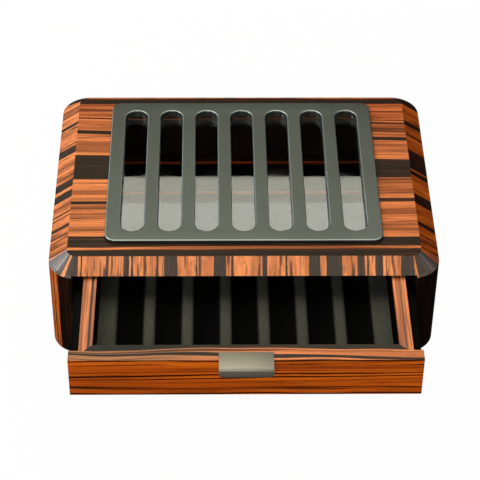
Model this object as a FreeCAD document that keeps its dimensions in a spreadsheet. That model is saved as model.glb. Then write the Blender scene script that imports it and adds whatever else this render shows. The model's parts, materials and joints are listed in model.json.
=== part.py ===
import FreeCAD, Part
import math
import os
import re

import Sketcher

# A two-drawer chest for fountain pens: a veneered case with a bevelled, round-cornered top, a slotted
# metal plate over a glass window, and two drawers on ball-bearing slides, each with a grooved pen tray.
# +X is to the right, +Y to the back and +Z up. The origin is the middle of the case's underside, on the
# felt that the chest stands on. The upper drawer is drawn out by "upper_open" and the lower one is shut.

SIZES = {
    # case
    "case_width": 270, "case_depth": 207, "case_height": 79.5, "corner_radius": 20,
    "bevel_run": 13, "bevel_drop": 9, "lid_thick": 8, "wall": 16.5,
    "base_thick": 5, "base_lap": 8, "base_setback": 10.5, "fit_gap": 0.15,
    "felt_thick": 1.5, "felt_inset": 4,
    # window in the lid
    "slot_pitch": 26, "slot_wide": 16.2, "window_shift": 1.8, "plate_thick": 5, "plate_sunk": 2,
    "plate_side": 10.5, "plate_end": 10, "plate_corner": 7, "plate_side_room": 25, "plate_end_room": 11.4,
    "edge_round": 0.7, "opening_margin": 1, "glass_thick": 3, "glass_lap": 3,
    # drawers
    "upper_open": 77.3, "front_thick": 9, "front_side_gap": 2, "front_top_gap": 2.5, "front_split": 1.75,
    "front_low_gap": 3.25, "board": 9, "box_front_thick": 5.4, "box_lift": 3, "drawer_back_gap": 12,
    "floor_thick": 3, "floor_rise": 2, "floor_groove": 3,
    "lining_thick": 1, "lining_drop": 2, "tray_gap": 0.3,
    "tray_high": 5.4, "groove_wide": 19.6, "groove_deep": 4.4,
    # drawer pulls
    "pull_wide": 36, "pull_thick": 1.5, "pull_seat": 7.1, "pull_reach": 9.3, "pull_drop": 7,
    "pull_sunk": 1.2, "pull_bend": 2.2, "pull_corner": 2.3, "stud_wide": 3, "stud_long": 7, "stud_space": 22,
    # ball-bearing slides
    "slide_room": 8.5, "steel": 1, "rail_high": 17, "rail_deep": 7, "rail_setback": 12, "rail_back_gap": 8.5,
    "lip_high": 0.9, "lip_thick": 0.7, "ball": 3, "ball_play": 0.05, "ball_count": 6, "ball_pitch": 9,
    "runner_setback": 11, "runner_back_gap": 2.5, "runner_clear": 2.1,
    "cage_long": 52, "cage_start": 68, "cage_thick": 0.45, "cage_deep": 5.4, "cage_off": 1.3,
    "cage_play": 0.1,
    "stop_gap": 0.3, "slide_screw_inset": 20,
    # fasteners
    "screw_wide": 3, "screw_head": 5.4, "screw_head_high": 1, "screw_play": 0.1,
    "slide_screw_long": 8, "front_screw_long": 11, "base_screw_long": 16, "plate_screw_long": 9,
    "screw_inset": 20, "dowel_wide": 5, "dowel_long": 20, "dowel_skin": 1.5, "dowel_cover": 1,
    "dowel_space": 65,
}
# Places and sizes that several pieces share, worked out from the sizes above.
SHARED = {
    # As many slots as fit side by side, and a window, drawers and slides as long as the case has room for.
    "slot_span": "case_width - 2 * (bevel_run + plate_side_room + plate_side)",
    "slot_count": "floor((slot_span - slot_wide) / slot_pitch) + 1",
    "slot_long": "case_depth - 2 * (bevel_run + plate_end + plate_end_room)",
    "front_high": "(case_height - lid_thick - front_top_gap - front_split - front_low_gap) / 2",
    "box_high": "front_high - box_lift",
    "drawer_long": "case_depth - wall - drawer_back_gap",
    "rail_long": "case_depth - wall - rail_setback - rail_back_gap",
    "runner_long": "drawer_long - runner_setback - runner_back_gap",
    # A skin of wood is left between each dowel and the wall's inner face, and a cover under the bevel.
    "dowel_inset": "wall - dowel_wide / 2 - dowel_skin",
    "bevel_over_dowel": "(dowel_inset - dowel_wide / 2) * bevel_drop / bevel_run - bevel_drop",
    "dowel_in_lid": "lid_thick + bevel_over_dowel - dowel_cover",
    "front_y": "0 - case_depth / 2",
    "back_y": "case_depth / 2 - wall",
    "base_top": "felt_thick + base_thick",
    "top_z": "felt_thick + case_height",
    "lid_z": "felt_thick + case_height - lid_thick",
    "inside_x": "case_width / 2 - wall",
    "slot_half_x": "(slot_count - 1) / 2 * slot_pitch + slot_wide / 2",
    "glass_half_x": "(slot_count - 1) / 2 * slot_pitch + slot_wide / 2 + opening_margin + glass_lap",
    "glass_half_y": "slot_long / 2 + opening_margin + glass_lap",
    "front_half_x": "case_width / 2 - wall - front_side_gap",
    "box_x": "case_width / 2 - wall - slide_room",
    "box_in_x": "case_width / 2 - wall - slide_room - board",
    "box_in_front": "front_thick + box_front_thick",
    "box_in_back": "drawer_long - board",
    "floor_top": "front_high - box_high + floor_rise + floor_thick",
    "upper_z": "felt_thick + case_height - lid_thick - front_top_gap - front_high",
    "lower_z": "felt_thick + case_height - lid_thick - front_top_gap - 2 * front_high - front_split",
    "slide_lift": "front_high - box_high / 2",
    "race": "rail_high / 2 - steel",
    "runner_half": "rail_high / 2 - steel - ball - 2 * ball_play",
    "ball_lift": "rail_high / 2 - steel - ball / 2 - ball_play",
    "ball_off": "(runner_clear + rail_deep) / 2",
}
LEFT_AND_RIGHT = {"left": -1, "right": 1}
DRAWERS = {"upper": "upper_open", "lower": "0"}
SCREWS_PER_SLIDE = 3

doc = FreeCAD.newDocument("pen_chest")
sheet = doc.addObject("Spreadsheet::Sheet", "sizes")
NAMES = sorted([*SIZES, *SHARED], key=len, reverse=True)
WORD = re.compile(r"\b(" + "|".join(NAMES) + r")\b")
for row, (alias, content) in enumerate([*SIZES.items(), *SHARED.items()], start=1):
    sheet.set(f"A{row}", alias)
    sheet.setAlias(f"B{row}", alias)
    sheet.set(f"B{row}", f"={content}" if alias in SHARED else str(content))
doc.recompute()
nodes = {}


# ---------------------------------------------------------------- helpers

def bound(formula):
    """The formula with each name of the sheet written as the sheet's cell."""
    return WORD.sub(r"sizes.\1", str(formula))


def number(formula):
    """What a formula in the sheet's names comes to now."""
    return float(sheet.evalExpression(bound(formula)))


def place(thing, x=0, y=0, z=0, along=None):
    """Put a thing's own origin at x, y, z, with its own +Z turned to the direction 'along'."""
    turn = FreeCAD.Rotation(FreeCAD.Vector(0, 0, 1), FreeCAD.Vector(*along)) if along else FreeCAD.Rotation()
    thing.Placement = FreeCAD.Placement(FreeCAD.Vector(number(x), number(y), number(z)), turn)
    for axis, formula in zip("xyz", (x, y, z)):
        thing.setExpression(f"Placement.Base.{axis}", bound(formula))
    return thing


def block(name, x, y, z):
    """A box between the low and the high formula of each axis."""
    thing = doc.addObject("Part::Box", name)
    for side, (low, high) in zip(("Length", "Width", "Height"), (x, y, z)):
        thing.setExpression(side, bound(f"({high}) - ({low})"))
    return place(thing, x[0], y[0], z[0])


def rod(name, wide, long, x, y, z, along=(0, 0, 1)):
    """A round bar of a diameter and a length, from x, y, z in the direction 'along'."""
    thing = doc.addObject("Part::Cylinder", name)
    thing.setExpression("Radius", bound(f"({wide}) / 2"))
    thing.setExpression("Height", bound(long))
    return place(thing, x, y, z, along)


def merge(name, things):
    """One solid, or one tool, from several things."""
    thing = doc.addObject("Part::MultiFuse", name)
    thing.Shapes = things
    return thing


def group(name, things):
    """Several separate solids under one name."""
    thing = doc.addObject("Part::Compound", name)
    thing.Links = things
    return thing


def carve(name, base, tools):
    """The base with every tool cut out of it."""
    thing = doc.addObject("Part::Cut", name)
    thing.Base = base
    thing.Tool = tools[0] if len(tools) == 1 else merge(f"{name}_cuts", tools)
    return thing


def overlap_of(name, one, other):
    thing = doc.addObject("Part::Common", name)
    thing.Base = one
    thing.Tool = other
    return thing


def keep(node, thing):
    """Give a finished piece its node's name, which is also its file's name."""
    thing.Label = node
    nodes[node] = thing
    return thing


def screw(name, long, x, y, z, along, play=0):
    """A countersunk screw, head first at x, y, z and pointing 'along'. With play it is the screw's hole."""
    head = doc.addObject("Part::Cone", f"{name}_head")
    head.setExpression("Radius1", bound(f"screw_head / 2 + {play}"))
    head.setExpression("Radius2", bound(f"screw_wide / 2 + {play}"))
    head.setExpression("Height", bound("screw_head_high"))
    shank = rod(f"{name}_shank", f"screw_wide + 2 * {play}", f"{long} + {play}", 0, 0, 0)
    return place(merge(name, [head, shank]), x, y, z, along)


def screws_and_holes(name, long, spots, along):
    """A group of screws at the spots, and one tool that cuts their holes."""
    screws = [screw(f"{name}_{i}", long, *spot, along) for i, spot in enumerate(spots)]
    holes = [screw(f"{name}_hole_{i}", long, *spot, along, "screw_play") for i, spot in enumerate(spots)]
    return screws, holes


def sketch_on(body, name, plane):
    sketch = body.newObject("Sketcher::SketchObject", name)
    origin_plane = next(part for part in body.Origin.OriginFeatures if part.Role == plane)
    sketch.AttachmentSupport = (origin_plane, [""])
    sketch.MapMode = "FlatFace"
    return sketch


def outline(body, name, plane, corners):
    """A closed outline of straight lines, each corner held by its two distances from the origin."""
    sketch = sketch_on(body, name, plane)
    points = [FreeCAD.Vector(number(across), number(up), 0) for across, up in corners]
    for start, end in zip(points, points[1:] + points[:1]):
        sketch.addGeometry(Part.LineSegment(start, end))
    for index, corner in enumerate(corners):
        before = (index - 1) % len(corners)
        sketch.addConstraint(Sketcher.Constraint("Coincident", before, 2, index, 1))
        for kind, formula in zip(("DistanceX", "DistanceY"), corner):
            spot = sketch.addConstraint(Sketcher.Constraint(kind, -1, 1, index, 1, number(formula)))
            sketch.setExpression(f"Constraints[{spot}]", bound(formula))
    return sketch


def pad(body, name, sketch, long, reverse=False):
    feature = body.newObject("PartDesign::Pad", name)
    feature.Profile = sketch
    feature.Reversed = reverse
    feature.setExpression("Length", bound(long))
    doc.recompute()
    return feature


def pocket_through(body, name, sketch):
    feature = body.newObject("PartDesign::Pocket", name)
    feature.Profile = sketch
    feature.Type = "ThroughAll"
    feature.Midplane = True
    doc.recompute()
    return feature


def dress(body, kind, name, base, picks, **sizes):
    """A fillet or a chamfer on the picked edges or faces of the feature before it."""
    feature = body.newObject(f"PartDesign::{kind}", name)
    feature.Base = (base, picks)
    for prop, formula in sizes.items():
        feature.setExpression(prop, bound(formula))
    doc.recompute()
    return feature


def repeat_along_x(body, name, feature, count, pitch):
    """The feature repeated from its own place towards +X."""
    pattern = body.newObject("PartDesign::LinearPattern", name)
    pattern.Originals = [feature]
    x_axis = next(part for part in body.Origin.OriginFeatures if part.Role == "X_Axis")
    pattern.Direction = (x_axis, [""])
    pattern.setExpression("Length", bound(f"({count} - 1) * {pitch}"))
    pattern.setExpression("Occurrences", bound(count))
    body.Tip = pattern
    doc.recompute()
    return pattern


def upright_edges(feature):
    """The names of the straight edges that run along Z."""
    return [f"Edge{i}" for i, edge in enumerate(feature.Shape.Edges, start=1)
            if isinstance(edge.Curve, Part.Line) and abs(edge.Curve.Direction.z) > 0.999]


def top_face(feature):
    """The name of the highest face, in a list."""
    faces = feature.Shape.Faces
    highest = max(range(len(faces)), key=lambda i: faces[i].CenterOfMass.z)
    return [f"Face{highest + 1}"]


def rounded_slab(name, half_x, half_y, thick, radius):
    """A flat slab centred on its own origin, its upright corners rounded."""
    body = doc.addObject("PartDesign::Body", name)
    corners = [(f"0 - ({half_x})", f"0 - ({half_y})"), (half_x, f"0 - ({half_y})"),
               (half_x, half_y), (f"0 - ({half_x})", half_y)]
    slab = pad(body, f"{name}_pad", outline(body, f"{name}_outline", "XY_Plane", corners), thick)
    dress(body, "Fillet", f"{name}_corners", slab, upright_edges(slab), Radius=radius)
    return body


# ---------------------------------------------------------------- case

def make_case():
    form = rounded_slab("case_form", "case_width / 2", "case_depth / 2", "case_height", "corner_radius")
    bevel = dress(form, "Chamfer", "case_form_bevel", form.Tip, top_face(form.Tip))
    bevel.ChamferType = "Two distances"
    bevel.setExpression("Size", bound("bevel_drop"))
    bevel.setExpression("Size2", bound("bevel_run"))
    place(form, 0, 0, "felt_thick")

    across = ("0 - inside_x", "inside_x")
    through = ("front_y", "0 - front_y")
    half_width = "case_width / 2"
    up_to_lid = ("felt_thick", "lid_z")

    felt = rounded_slab("felt", "case_width / 2 - felt_inset", "case_depth / 2 - felt_inset", "felt_thick",
                        "corner_radius - felt_inset")
    keep("base_felt", felt)

    base_x = ("0 - (inside_x + base_lap)", "inside_x + base_lap")
    base_y = ("front_y + base_setback", "back_y + base_lap")
    base_z = ("felt_thick", "base_top")
    base_seat = block("base_seat", base_x, base_y, base_z)
    base_blank = block("base_blank", (f"{base_x[0]} + fit_gap", f"{base_x[1]} - fit_gap"),
                       (f"{base_y[0]} + fit_gap", f"{base_y[1]} - fit_gap"), base_z)
    screw_x = "(inside_x + base_lap / 2)"
    spots = [(f"{side} * {screw_x}", y, "felt_thick") for side in LEFT_AND_RIGHT.values()
             for y in ("front_y + base_setback + screw_inset", "0", "back_y - screw_inset")]
    spots += [(f"{side} * inside_x / 2", "back_y + base_lap / 2", "felt_thick")
              for side in LEFT_AND_RIGHT.values()]
    base_screws, base_holes = screws_and_holes("base_screw", "base_screw_long", spots, (0, 0, 1))
    base_hole_tool = merge("base_hole_tool", base_holes)
    keep("base_panel", carve("base", base_blank, [base_hole_tool]))
    keep("base_screws", group("base_screw_group", base_screws))

    # The dowels stand in the side walls and the back, and a short way up into the lid.
    dowel_low = "lid_z + dowel_in_lid - dowel_long"
    spots = [(f"{side} * (case_width / 2 - dowel_inset)", f"{step} * dowel_space") for step in (-1, 0, 1)
             for side in LEFT_AND_RIGHT.values()]
    spots += [(f"{side} * dowel_space", "case_depth / 2 - dowel_inset") for side in LEFT_AND_RIGHT.values()]
    lid_dowels = [rod(f"lid_dowel_{i}", "dowel_wide", "dowel_long", x, y, dowel_low)
                  for i, (x, y) in enumerate(spots)]
    back_dowels = [rod(f"back_dowel_{name}_{level}", "dowel_wide", "dowel_long",
                       f"{side} * (inside_x - dowel_long / 2)", "case_depth / 2 - dowel_inset",
                       f"felt_thick + case_height * {level} / 4", (side, 0, 0))
                   for name, side in LEFT_AND_RIGHT.items() for level in (1, 3)]
    dowel_tool = merge("dowel_tool", lid_dowels + back_dowels)
    keep("dowels", group("dowel_group", lid_dowels + back_dowels))

    for name, side in LEFT_AND_RIGHT.items():
        reach = [f"{side} * inside_x", f"{side} * {half_width}"]
        wall_box = block(f"{name}_wall_box", reach[::side], through, up_to_lid)
        blank = overlap_of(f"{name}_wall_blank", form, wall_box)
        keep(f"{name}_side", carve(f"{name}_wall", blank,
                                   [base_seat, base_hole_tool, dowel_tool, rail_holes(name, side)]))
    back_box = block("back_box", across, ("back_y", "0 - front_y"), up_to_lid)
    back_blank = overlap_of("back_blank", form, back_box)
    keep("back_panel", carve("back", back_blank, [base_seat, base_hole_tool, dowel_tool]))
    make_window(form, through, dowel_tool)


def make_window(form, through, dowel_tool):
    """The lid, the glass in its rebate and the slotted plate that holds the glass down."""
    half_x = "(slot_half_x + plate_side)"
    half_y = "(slot_long / 2 + plate_end)"
    plate_z = "top_z - plate_sunk"
    glass_z = "top_z - plate_sunk - glass_thick"
    plate = rounded_slab("plate", half_x, half_y, "plate_thick", "plate_corner")
    first_slot = slot_sketch(plate, "first_slot")
    cut_slot = pocket_through(plate, "slot", first_slot)
    slots = repeat_along_x(plate, "slots", cut_slot, "slot_count", "slot_pitch")
    dress(plate, "Fillet", "plate_edges", slots, top_face(slots), Radius="edge_round")

    spots = [(f"{side} * (glass_half_x + {half_x}) / 2", y, "lid_z") for side in LEFT_AND_RIGHT.values()
             for y in ("window_shift - slot_long / 2", "window_shift", "window_shift + slot_long / 2")]
    screws, holes = screws_and_holes("plate_screw", "plate_screw_long", spots, (0, 0, 1))
    hole_tool = merge("plate_hole_tool", holes)
    keep("plate_screws", group("plate_screw_group", screws))
    place(plate, 0, "window_shift", plate_z)
    keep("window_plate", carve("drilled_plate", plate, [hole_tool]))

    seat = rounded_slab("plate_seat", f"{half_x} + fit_gap", f"{half_y} + fit_gap", "plate_thick",
                        "plate_corner + fit_gap")
    place(seat, 0, "window_shift", plate_z)
    glass_span = [("0 - glass_half_x", "glass_half_x"),
                  ("window_shift - glass_half_y", "window_shift + glass_half_y"), (glass_z, plate_z)]
    keep("window_glass", block("glass", *glass_span))
    seat_span = [(f"{low} - fit_gap", f"{high} + fit_gap") for low, high in glass_span[:2]]
    glass_seat = block("glass_seat", *seat_span, glass_span[2])
    opening = block("opening", ("0 - (glass_half_x - glass_lap)", "glass_half_x - glass_lap"),
                    ("window_shift - glass_half_y + glass_lap", "window_shift + glass_half_y - glass_lap"),
                    ("lid_z", "top_z"))
    lid_box = block("lid_box", ("0 - case_width / 2", "case_width / 2"), through, ("lid_z", "top_z"))
    lid_blank = overlap_of("lid_blank", form, lid_box)
    keep("lid_panel", carve("lid", lid_blank, [seat, glass_seat, opening, hole_tool, dowel_tool]))


def slot_sketch(body, name):
    """A round-ended slot along Y, at the left-hand end of the row of slots."""
    sketch = sketch_on(body, name, "XY_Plane")
    radius = number("slot_wide / 2")
    reach = number("(slot_long - slot_wide) / 2")
    middle = number("0 - (slot_count - 1) / 2 * slot_pitch")
    up = FreeCAD.Vector(0, 0, 1)
    back = Part.Circle(FreeCAD.Vector(middle, reach, 0), up, radius)
    front = Part.Circle(FreeCAD.Vector(middle, -reach, 0), up, radius)
    right = FreeCAD.Vector(middle + radius, 0, 0)
    left = FreeCAD.Vector(middle - radius, 0, 0)
    step = FreeCAD.Vector(0, reach, 0)
    sketch.addGeometry(Part.LineSegment(right - step, right + step))
    sketch.addGeometry(Part.ArcOfCircle(back, 0, math.pi))
    sketch.addGeometry(Part.LineSegment(left + step, left - step))
    sketch.addGeometry(Part.ArcOfCircle(front, math.pi, 2 * math.pi))
    for index in range(4):
        sketch.addConstraint(Sketcher.Constraint("Tangent", index, 2, (index + 1) % 4, 1))
    sketch.addConstraint(Sketcher.Constraint("Vertical", 0))
    held = [("DistanceX", (-1, 1, 1, 3), "0 - (slot_count - 1) / 2 * slot_pitch"),
            ("DistanceY", (-1, 1, 1, 3), "(slot_long - slot_wide) / 2"),
            ("DistanceY", (-1, 1, 3, 3), "0 - (slot_long - slot_wide) / 2"),
            ("Radius", (1,), "slot_wide / 2")]
    for kind, picks, formula in held:
        spot = sketch.addConstraint(Sketcher.Constraint(kind, *picks, number(formula)))
        sketch.setExpression(f"Constraints[{spot}]", bound(formula))
    return sketch


# ---------------------------------------------------------------- slides

def channel(name, side, from_wall, points, start, long):
    """A folded steel channel along Y. Its section's points are (distance from the case wall, height)."""
    body = doc.addObject("PartDesign::Body", name)
    corners = [(f"{side} * (inside_x - ({off}))", up) for off, up in points]
    pad(body, f"{name}_pad", outline(body, f"{name}_section", "XZ_Plane", corners), long, reverse=True)
    return place(body, 0, start, from_wall)


def rail_section():
    lip = "rail_deep - lip_thick"
    low = [(0, "0 - rail_high / 2"), ("rail_deep", "0 - rail_high / 2"), ("rail_deep", "lip_high - race"),
           (lip, "lip_high - race"), (lip, "0 - race"), ("steel", "0 - race")]
    return low + [(off, f"0 - ({up})") for off, up in reversed(low)]


def runner_section():
    web = "slide_room - steel"
    lip = "runner_clear + lip_thick"
    low = [("slide_room", "0 - runner_half"), (lip, "0 - runner_half"), (lip, "0 - runner_half - lip_high"),
           ("runner_clear", "0 - runner_half - lip_high"), ("runner_clear", "steel - runner_half"),
           (web, "steel - runner_half")]
    return low + [(off, f"0 - ({up})") for off, up in reversed(low)]


def cage_section():
    inner = "cage_off + cage_thick"
    low = [("cage_off", "0 - ball_lift - cage_thick / 2"),
           ("cage_off + cage_deep", "0 - ball_lift - cage_thick / 2"),
           ("cage_off + cage_deep", "cage_thick / 2 - ball_lift"), (inner, "cage_thick / 2 - ball_lift")]
    return low + [(off, f"0 - ({up})") for off, up in reversed(low)]


def rail_screw_spots(side, drawer):
    """The heads' places in a rail: front, middle and back, on the rail's face."""
    first = "front_y + rail_setback + slide_screw_inset"
    step = f"(rail_long - 2 * slide_screw_inset) / {SCREWS_PER_SLIDE - 1}"
    return [(f"{side} * (inside_x - steel)", f"{first} + {i} * {step}", f"{drawer}_z + slide_lift")
            for i in range(SCREWS_PER_SLIDE)]


def rail_holes(name, side):
    """One tool with the holes for every rail screw on one side of the case."""
    spots = [spot for drawer in DRAWERS for spot in rail_screw_spots(side, drawer)]
    holes = [screw(f"{name}_rail_hole_{i}", "slide_screw_long", *spot, (side, 0, 0), "screw_play")
             for i, spot in enumerate(spots)]
    return merge(f"{name}_rail_hole_tool", holes)


def make_rails():
    screws = []
    stops = []
    for drawer in DRAWERS:
        height = f"{drawer}_z + slide_lift"
        for name, side in LEFT_AND_RIGHT.items():
            title = f"{drawer}_{name}_rail"
            rail = channel(f"{title}_body", side, height, rail_section(), "front_y + rail_setback",
                           "rail_long")
            keep(title, carve(title + "_drilled", rail, [doc.getObject(f"{name}_rail_hole_tool")]))
            screws += [screw(f"{title}_screw_{i}", "slide_screw_long", *spot, (side, 0, 0))
                       for i, spot in enumerate(rail_screw_spots(side, drawer))]
            reach = [f"{side} * (inside_x - rail_deep + lip_thick + fit_gap)", f"{side} * (inside_x - steel)"]
            stops.append(block(f"{title}_stop", reach[::side],
                               ("front_y + runner_setback + runner_long + stop_gap",
                                "front_y + rail_setback + rail_long"),
                               (f"{height} - race", f"{height} + race")))
    keep("rail_screws", group("rail_screw_group", screws))
    keep("slide_stops", group("slide_stop_group", stops))


def make_slide_side(drawer, name, side, opened):
    """The drawer's runner and the cage of balls between it and the rail."""
    height = f"{drawer}_z + slide_lift"
    title = f"{drawer}_{name}"
    start = f"front_y + runner_setback - ({opened})"
    runner = channel(f"{title}_runner_body", side, height, runner_section(), start, "runner_long")
    holes = doc.getObject(f"{title}_runner_hole_tool")
    keep(f"{title}_runner", carve(f"{title}_runner_drilled", runner, [holes]))

    cage_y = f"front_y + cage_start - ({opened}) / 2"
    cage = channel(f"{title}_cage_body", side, height, cage_section(), cage_y, "cage_long")
    balls = []
    pockets = []
    first = f"{cage_y} + (cage_long - (ball_count - 1) * ball_pitch) / 2"
    for level, up in {"top": 1, "bottom": -1}.items():
        for i in range(int(number("ball_count"))):
            spot = (f"{side} * (inside_x - ball_off)", f"{first} + {i} * ball_pitch",
                    f"{height} + {up} * ball_lift")
            ball = doc.addObject("Part::Sphere", f"{title}_ball_{level}_{i}")
            ball.setExpression("Radius", bound("ball / 2"))
            balls.append(place(ball, *spot))
            pockets.append(rod(f"{title}_pocket_{level}_{i}", "ball + 2 * cage_play", "2 * cage_thick",
                               spot[0], spot[1], f"{spot[2]} - cage_thick"))
    keep(f"{title}_cage", carve(f"{title}_cage_pocketed", cage, pockets))
    keep(f"{title}_balls", group(f"{title}_ball_group", balls))


# ---------------------------------------------------------------- drawers

def board_body(name, corners, shift):
    """A drawer board from its outline in plan, as high as the drawer box. 'shift' is the drawer's place."""
    body = doc.addObject("PartDesign::Body", name)
    pad(body, f"{name}_pad", outline(body, f"{name}_plan", "XY_Plane", corners), "box_high")
    x, y, z = shift
    return place(body, x, y, f"{z} + box_lift")


def make_drawer(drawer, opened):
    """One drawer: a false front, a mitred box with a let-in floor, the lining, the pen tray and the pull."""
    y0 = f"front_y - ({opened})"
    z0 = f"{drawer}_z"
    shift = (0, y0, z0)
    front_span = [("0 - front_half_x", "front_half_x"), (y0, f"{y0} + front_thick"),
                  (z0, f"{z0} + front_high")]
    front_blank = block(f"{drawer}_front_blank", *front_span)
    seat = make_pull(drawer, y0, f"{z0} + front_high")

    # The screws go through the box's front wall into the false front.
    spots = [(f"{side} * box_in_x * {share} / 4", f"{y0} + box_in_front", f"{z0} + front_high / 2")
             for side in LEFT_AND_RIGHT.values() for share in (1, 3)]
    screws, holes = screws_and_holes(f"{drawer}_front_screw", "front_screw_long", spots, (0, -1, 0))
    hole_tool = merge(f"{drawer}_front_hole_tool", holes)
    keep(f"{drawer}_front", carve(f"{drawer}_front_cut", front_blank, [seat, hole_tool]))
    keep(f"{drawer}_front_screws", group(f"{drawer}_front_screw_group", screws))

    floor_z = (f"{z0} + box_lift + floor_rise", f"{z0} + floor_top")
    floor_half = "box_in_x + floor_groove"
    floor_y = [f"{y0} + box_in_front - floor_groove", f"{y0} + box_in_back + floor_groove"]
    groove = block(f"{drawer}_floor_groove", (f"0 - ({floor_half})", floor_half), floor_y, floor_z)
    keep(f"{drawer}_floor", block(f"{drawer}_floor_board",
                                  (f"fit_gap - ({floor_half})", f"{floor_half} - fit_gap"),
                                  (f"{floor_y[0]} + fit_gap", f"{floor_y[1]} - fit_gap"), floor_z))

    mitre = "(box_in_x + box_front_thick)"
    front_wall = board_body(f"{drawer}_front_wall",
                            [(f"0 - {mitre}", "front_thick"), (mitre, "front_thick"),
                             ("box_in_x", "box_in_front"), ("0 - box_in_x", "box_in_front")], shift)
    back_wall = board_body(f"{drawer}_back_wall",
                           [("0 - box_in_x", "box_in_back"), ("box_in_x", "box_in_back"),
                            ("box_x", "drawer_long"), ("0 - box_x", "drawer_long")], shift)
    keep(f"{drawer}_box_front", carve(f"{drawer}_box_front_cut", front_wall, [groove, hole_tool]))
    keep(f"{drawer}_box_back", carve(f"{drawer}_box_back_cut", back_wall, [groove]))

    runner_screws = []
    for name, side in LEFT_AND_RIGHT.items():
        title = f"{drawer}_{name}"
        plan = [("box_x", "front_thick"), (mitre, "front_thick"), ("box_in_x", "box_in_front"),
                ("box_in_x", "box_in_back"), ("box_x", "drawer_long")]
        wall = board_body(f"{title}_wall", [(f"{side} * {x}", y) for x, y in plan], shift)
        first = f"{y0} + runner_setback + slide_screw_inset"
        step = f"(runner_long - 2 * slide_screw_inset) / {SCREWS_PER_SLIDE - 1}"
        spots = [(f"{side} * (inside_x - slide_room + steel)", f"{first} + {i} * {step}",
                  f"{z0} + slide_lift")
                 for i in range(SCREWS_PER_SLIDE)]
        screws, holes = screws_and_holes(f"{title}_runner_screw", "slide_screw_long", spots, (-side, 0, 0))
        runner_hole_tool = merge(f"{title}_runner_hole_tool", holes)
        runner_screws += screws
        keep(f"{title}_board", carve(f"{title}_wall_cut", wall, [groove, runner_hole_tool]))
        make_slide_side(drawer, name, side, opened)
    keep(f"{drawer}_runner_screws", group(f"{drawer}_runner_screw_group", runner_screws))
    make_lining_and_tray(drawer, y0, z0)


def make_lining_and_tray(drawer, y0, z0):
    """Thin strips on the four inner walls and, between them, the grooved tray."""
    high = (f"{z0} + floor_top", f"{z0} + front_high - lining_drop")
    inner_y = [f"{y0} + box_in_front", f"{y0} + box_in_back"]
    strips = [block(f"{drawer}_strip_{name}",
                    [f"{side} * (box_in_x - lining_thick)", f"{side} * box_in_x"][::side], inner_y, high)
              for name, side in LEFT_AND_RIGHT.items()]
    across = ("lining_thick - box_in_x", "box_in_x - lining_thick")
    strips.append(block(f"{drawer}_strip_front", across, (inner_y[0], f"{inner_y[0]} + lining_thick"), high))
    strips.append(block(f"{drawer}_strip_back", across, (f"{inner_y[1]} - lining_thick", inner_y[1]), high))
    keep(f"{drawer}_lining", group(f"{drawer}_lining_group", strips))

    half = "(box_in_x - lining_thick - tray_gap)"
    body = doc.addObject("PartDesign::Body", f"{drawer}_tray_body")
    section = [(f"0 - {half}", "0"), (half, "0"), (half, "tray_high"), (f"0 - {half}", "tray_high")]
    long = "box_in_back - box_in_front - 2 * (lining_thick + tray_gap)"
    tray_outline = outline(body, f"{drawer}_tray_section", "XZ_Plane", section)
    pad(body, f"{drawer}_tray_pad", tray_outline, long, reverse=True)
    groove = pocket_through(body, f"{drawer}_tray_groove", groove_sketch(body, f"{drawer}_groove_section"))
    repeat_along_x(body, f"{drawer}_tray_grooves", groove, "slot_count", "slot_pitch")
    place(body, 0, f"{y0} + box_in_front + lining_thick + tray_gap", f"{z0} + floor_top")
    keep(f"{drawer}_pen_tray", body)


def groove_sketch(body, name):
    """A round-bottomed groove's section at the left-hand end of the tray: an arc closed by its chord."""
    sketch = sketch_on(body, name, "XZ_Plane")
    middle = "0 - (slot_count - 1) / 2 * slot_pitch"
    left = FreeCAD.Vector(number(f"{middle} - groove_wide / 2"), number("tray_high"), 0)
    right = FreeCAD.Vector(number(f"{middle} + groove_wide / 2"), number("tray_high"), 0)
    bottom = FreeCAD.Vector(number(middle), number("tray_high - groove_deep"), 0)
    arc = Part.Arc(left, bottom, right)
    sketch.addGeometry(arc)
    sketch.addGeometry(Part.LineSegment(right, left))
    sketch.addConstraint(Sketcher.Constraint("Coincident", 0, 2, 1, 1))
    sketch.addConstraint(Sketcher.Constraint("Coincident", 1, 2, 0, 1))
    radius = "(groove_wide * groove_wide / 4 + groove_deep * groove_deep) / (2 * groove_deep)"
    held = [("DistanceX", (-1, 1, 0, 1), f"{middle} - groove_wide / 2"),
            ("DistanceY", (-1, 1, 0, 1), "tray_high"),
            ("DistanceX", (-1, 1, 0, 2), f"{middle} + groove_wide / 2"),
            ("DistanceY", (-1, 1, 0, 2), "tray_high"),
            ("Radius", (0,), radius)]
    for kind, picks, formula in held:
        spot = sketch.addConstraint(Sketcher.Constraint(kind, *picks, number(formula)))
        sketch.setExpression(f"Constraints[{spot}]", bound(formula))
    return sketch


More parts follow.
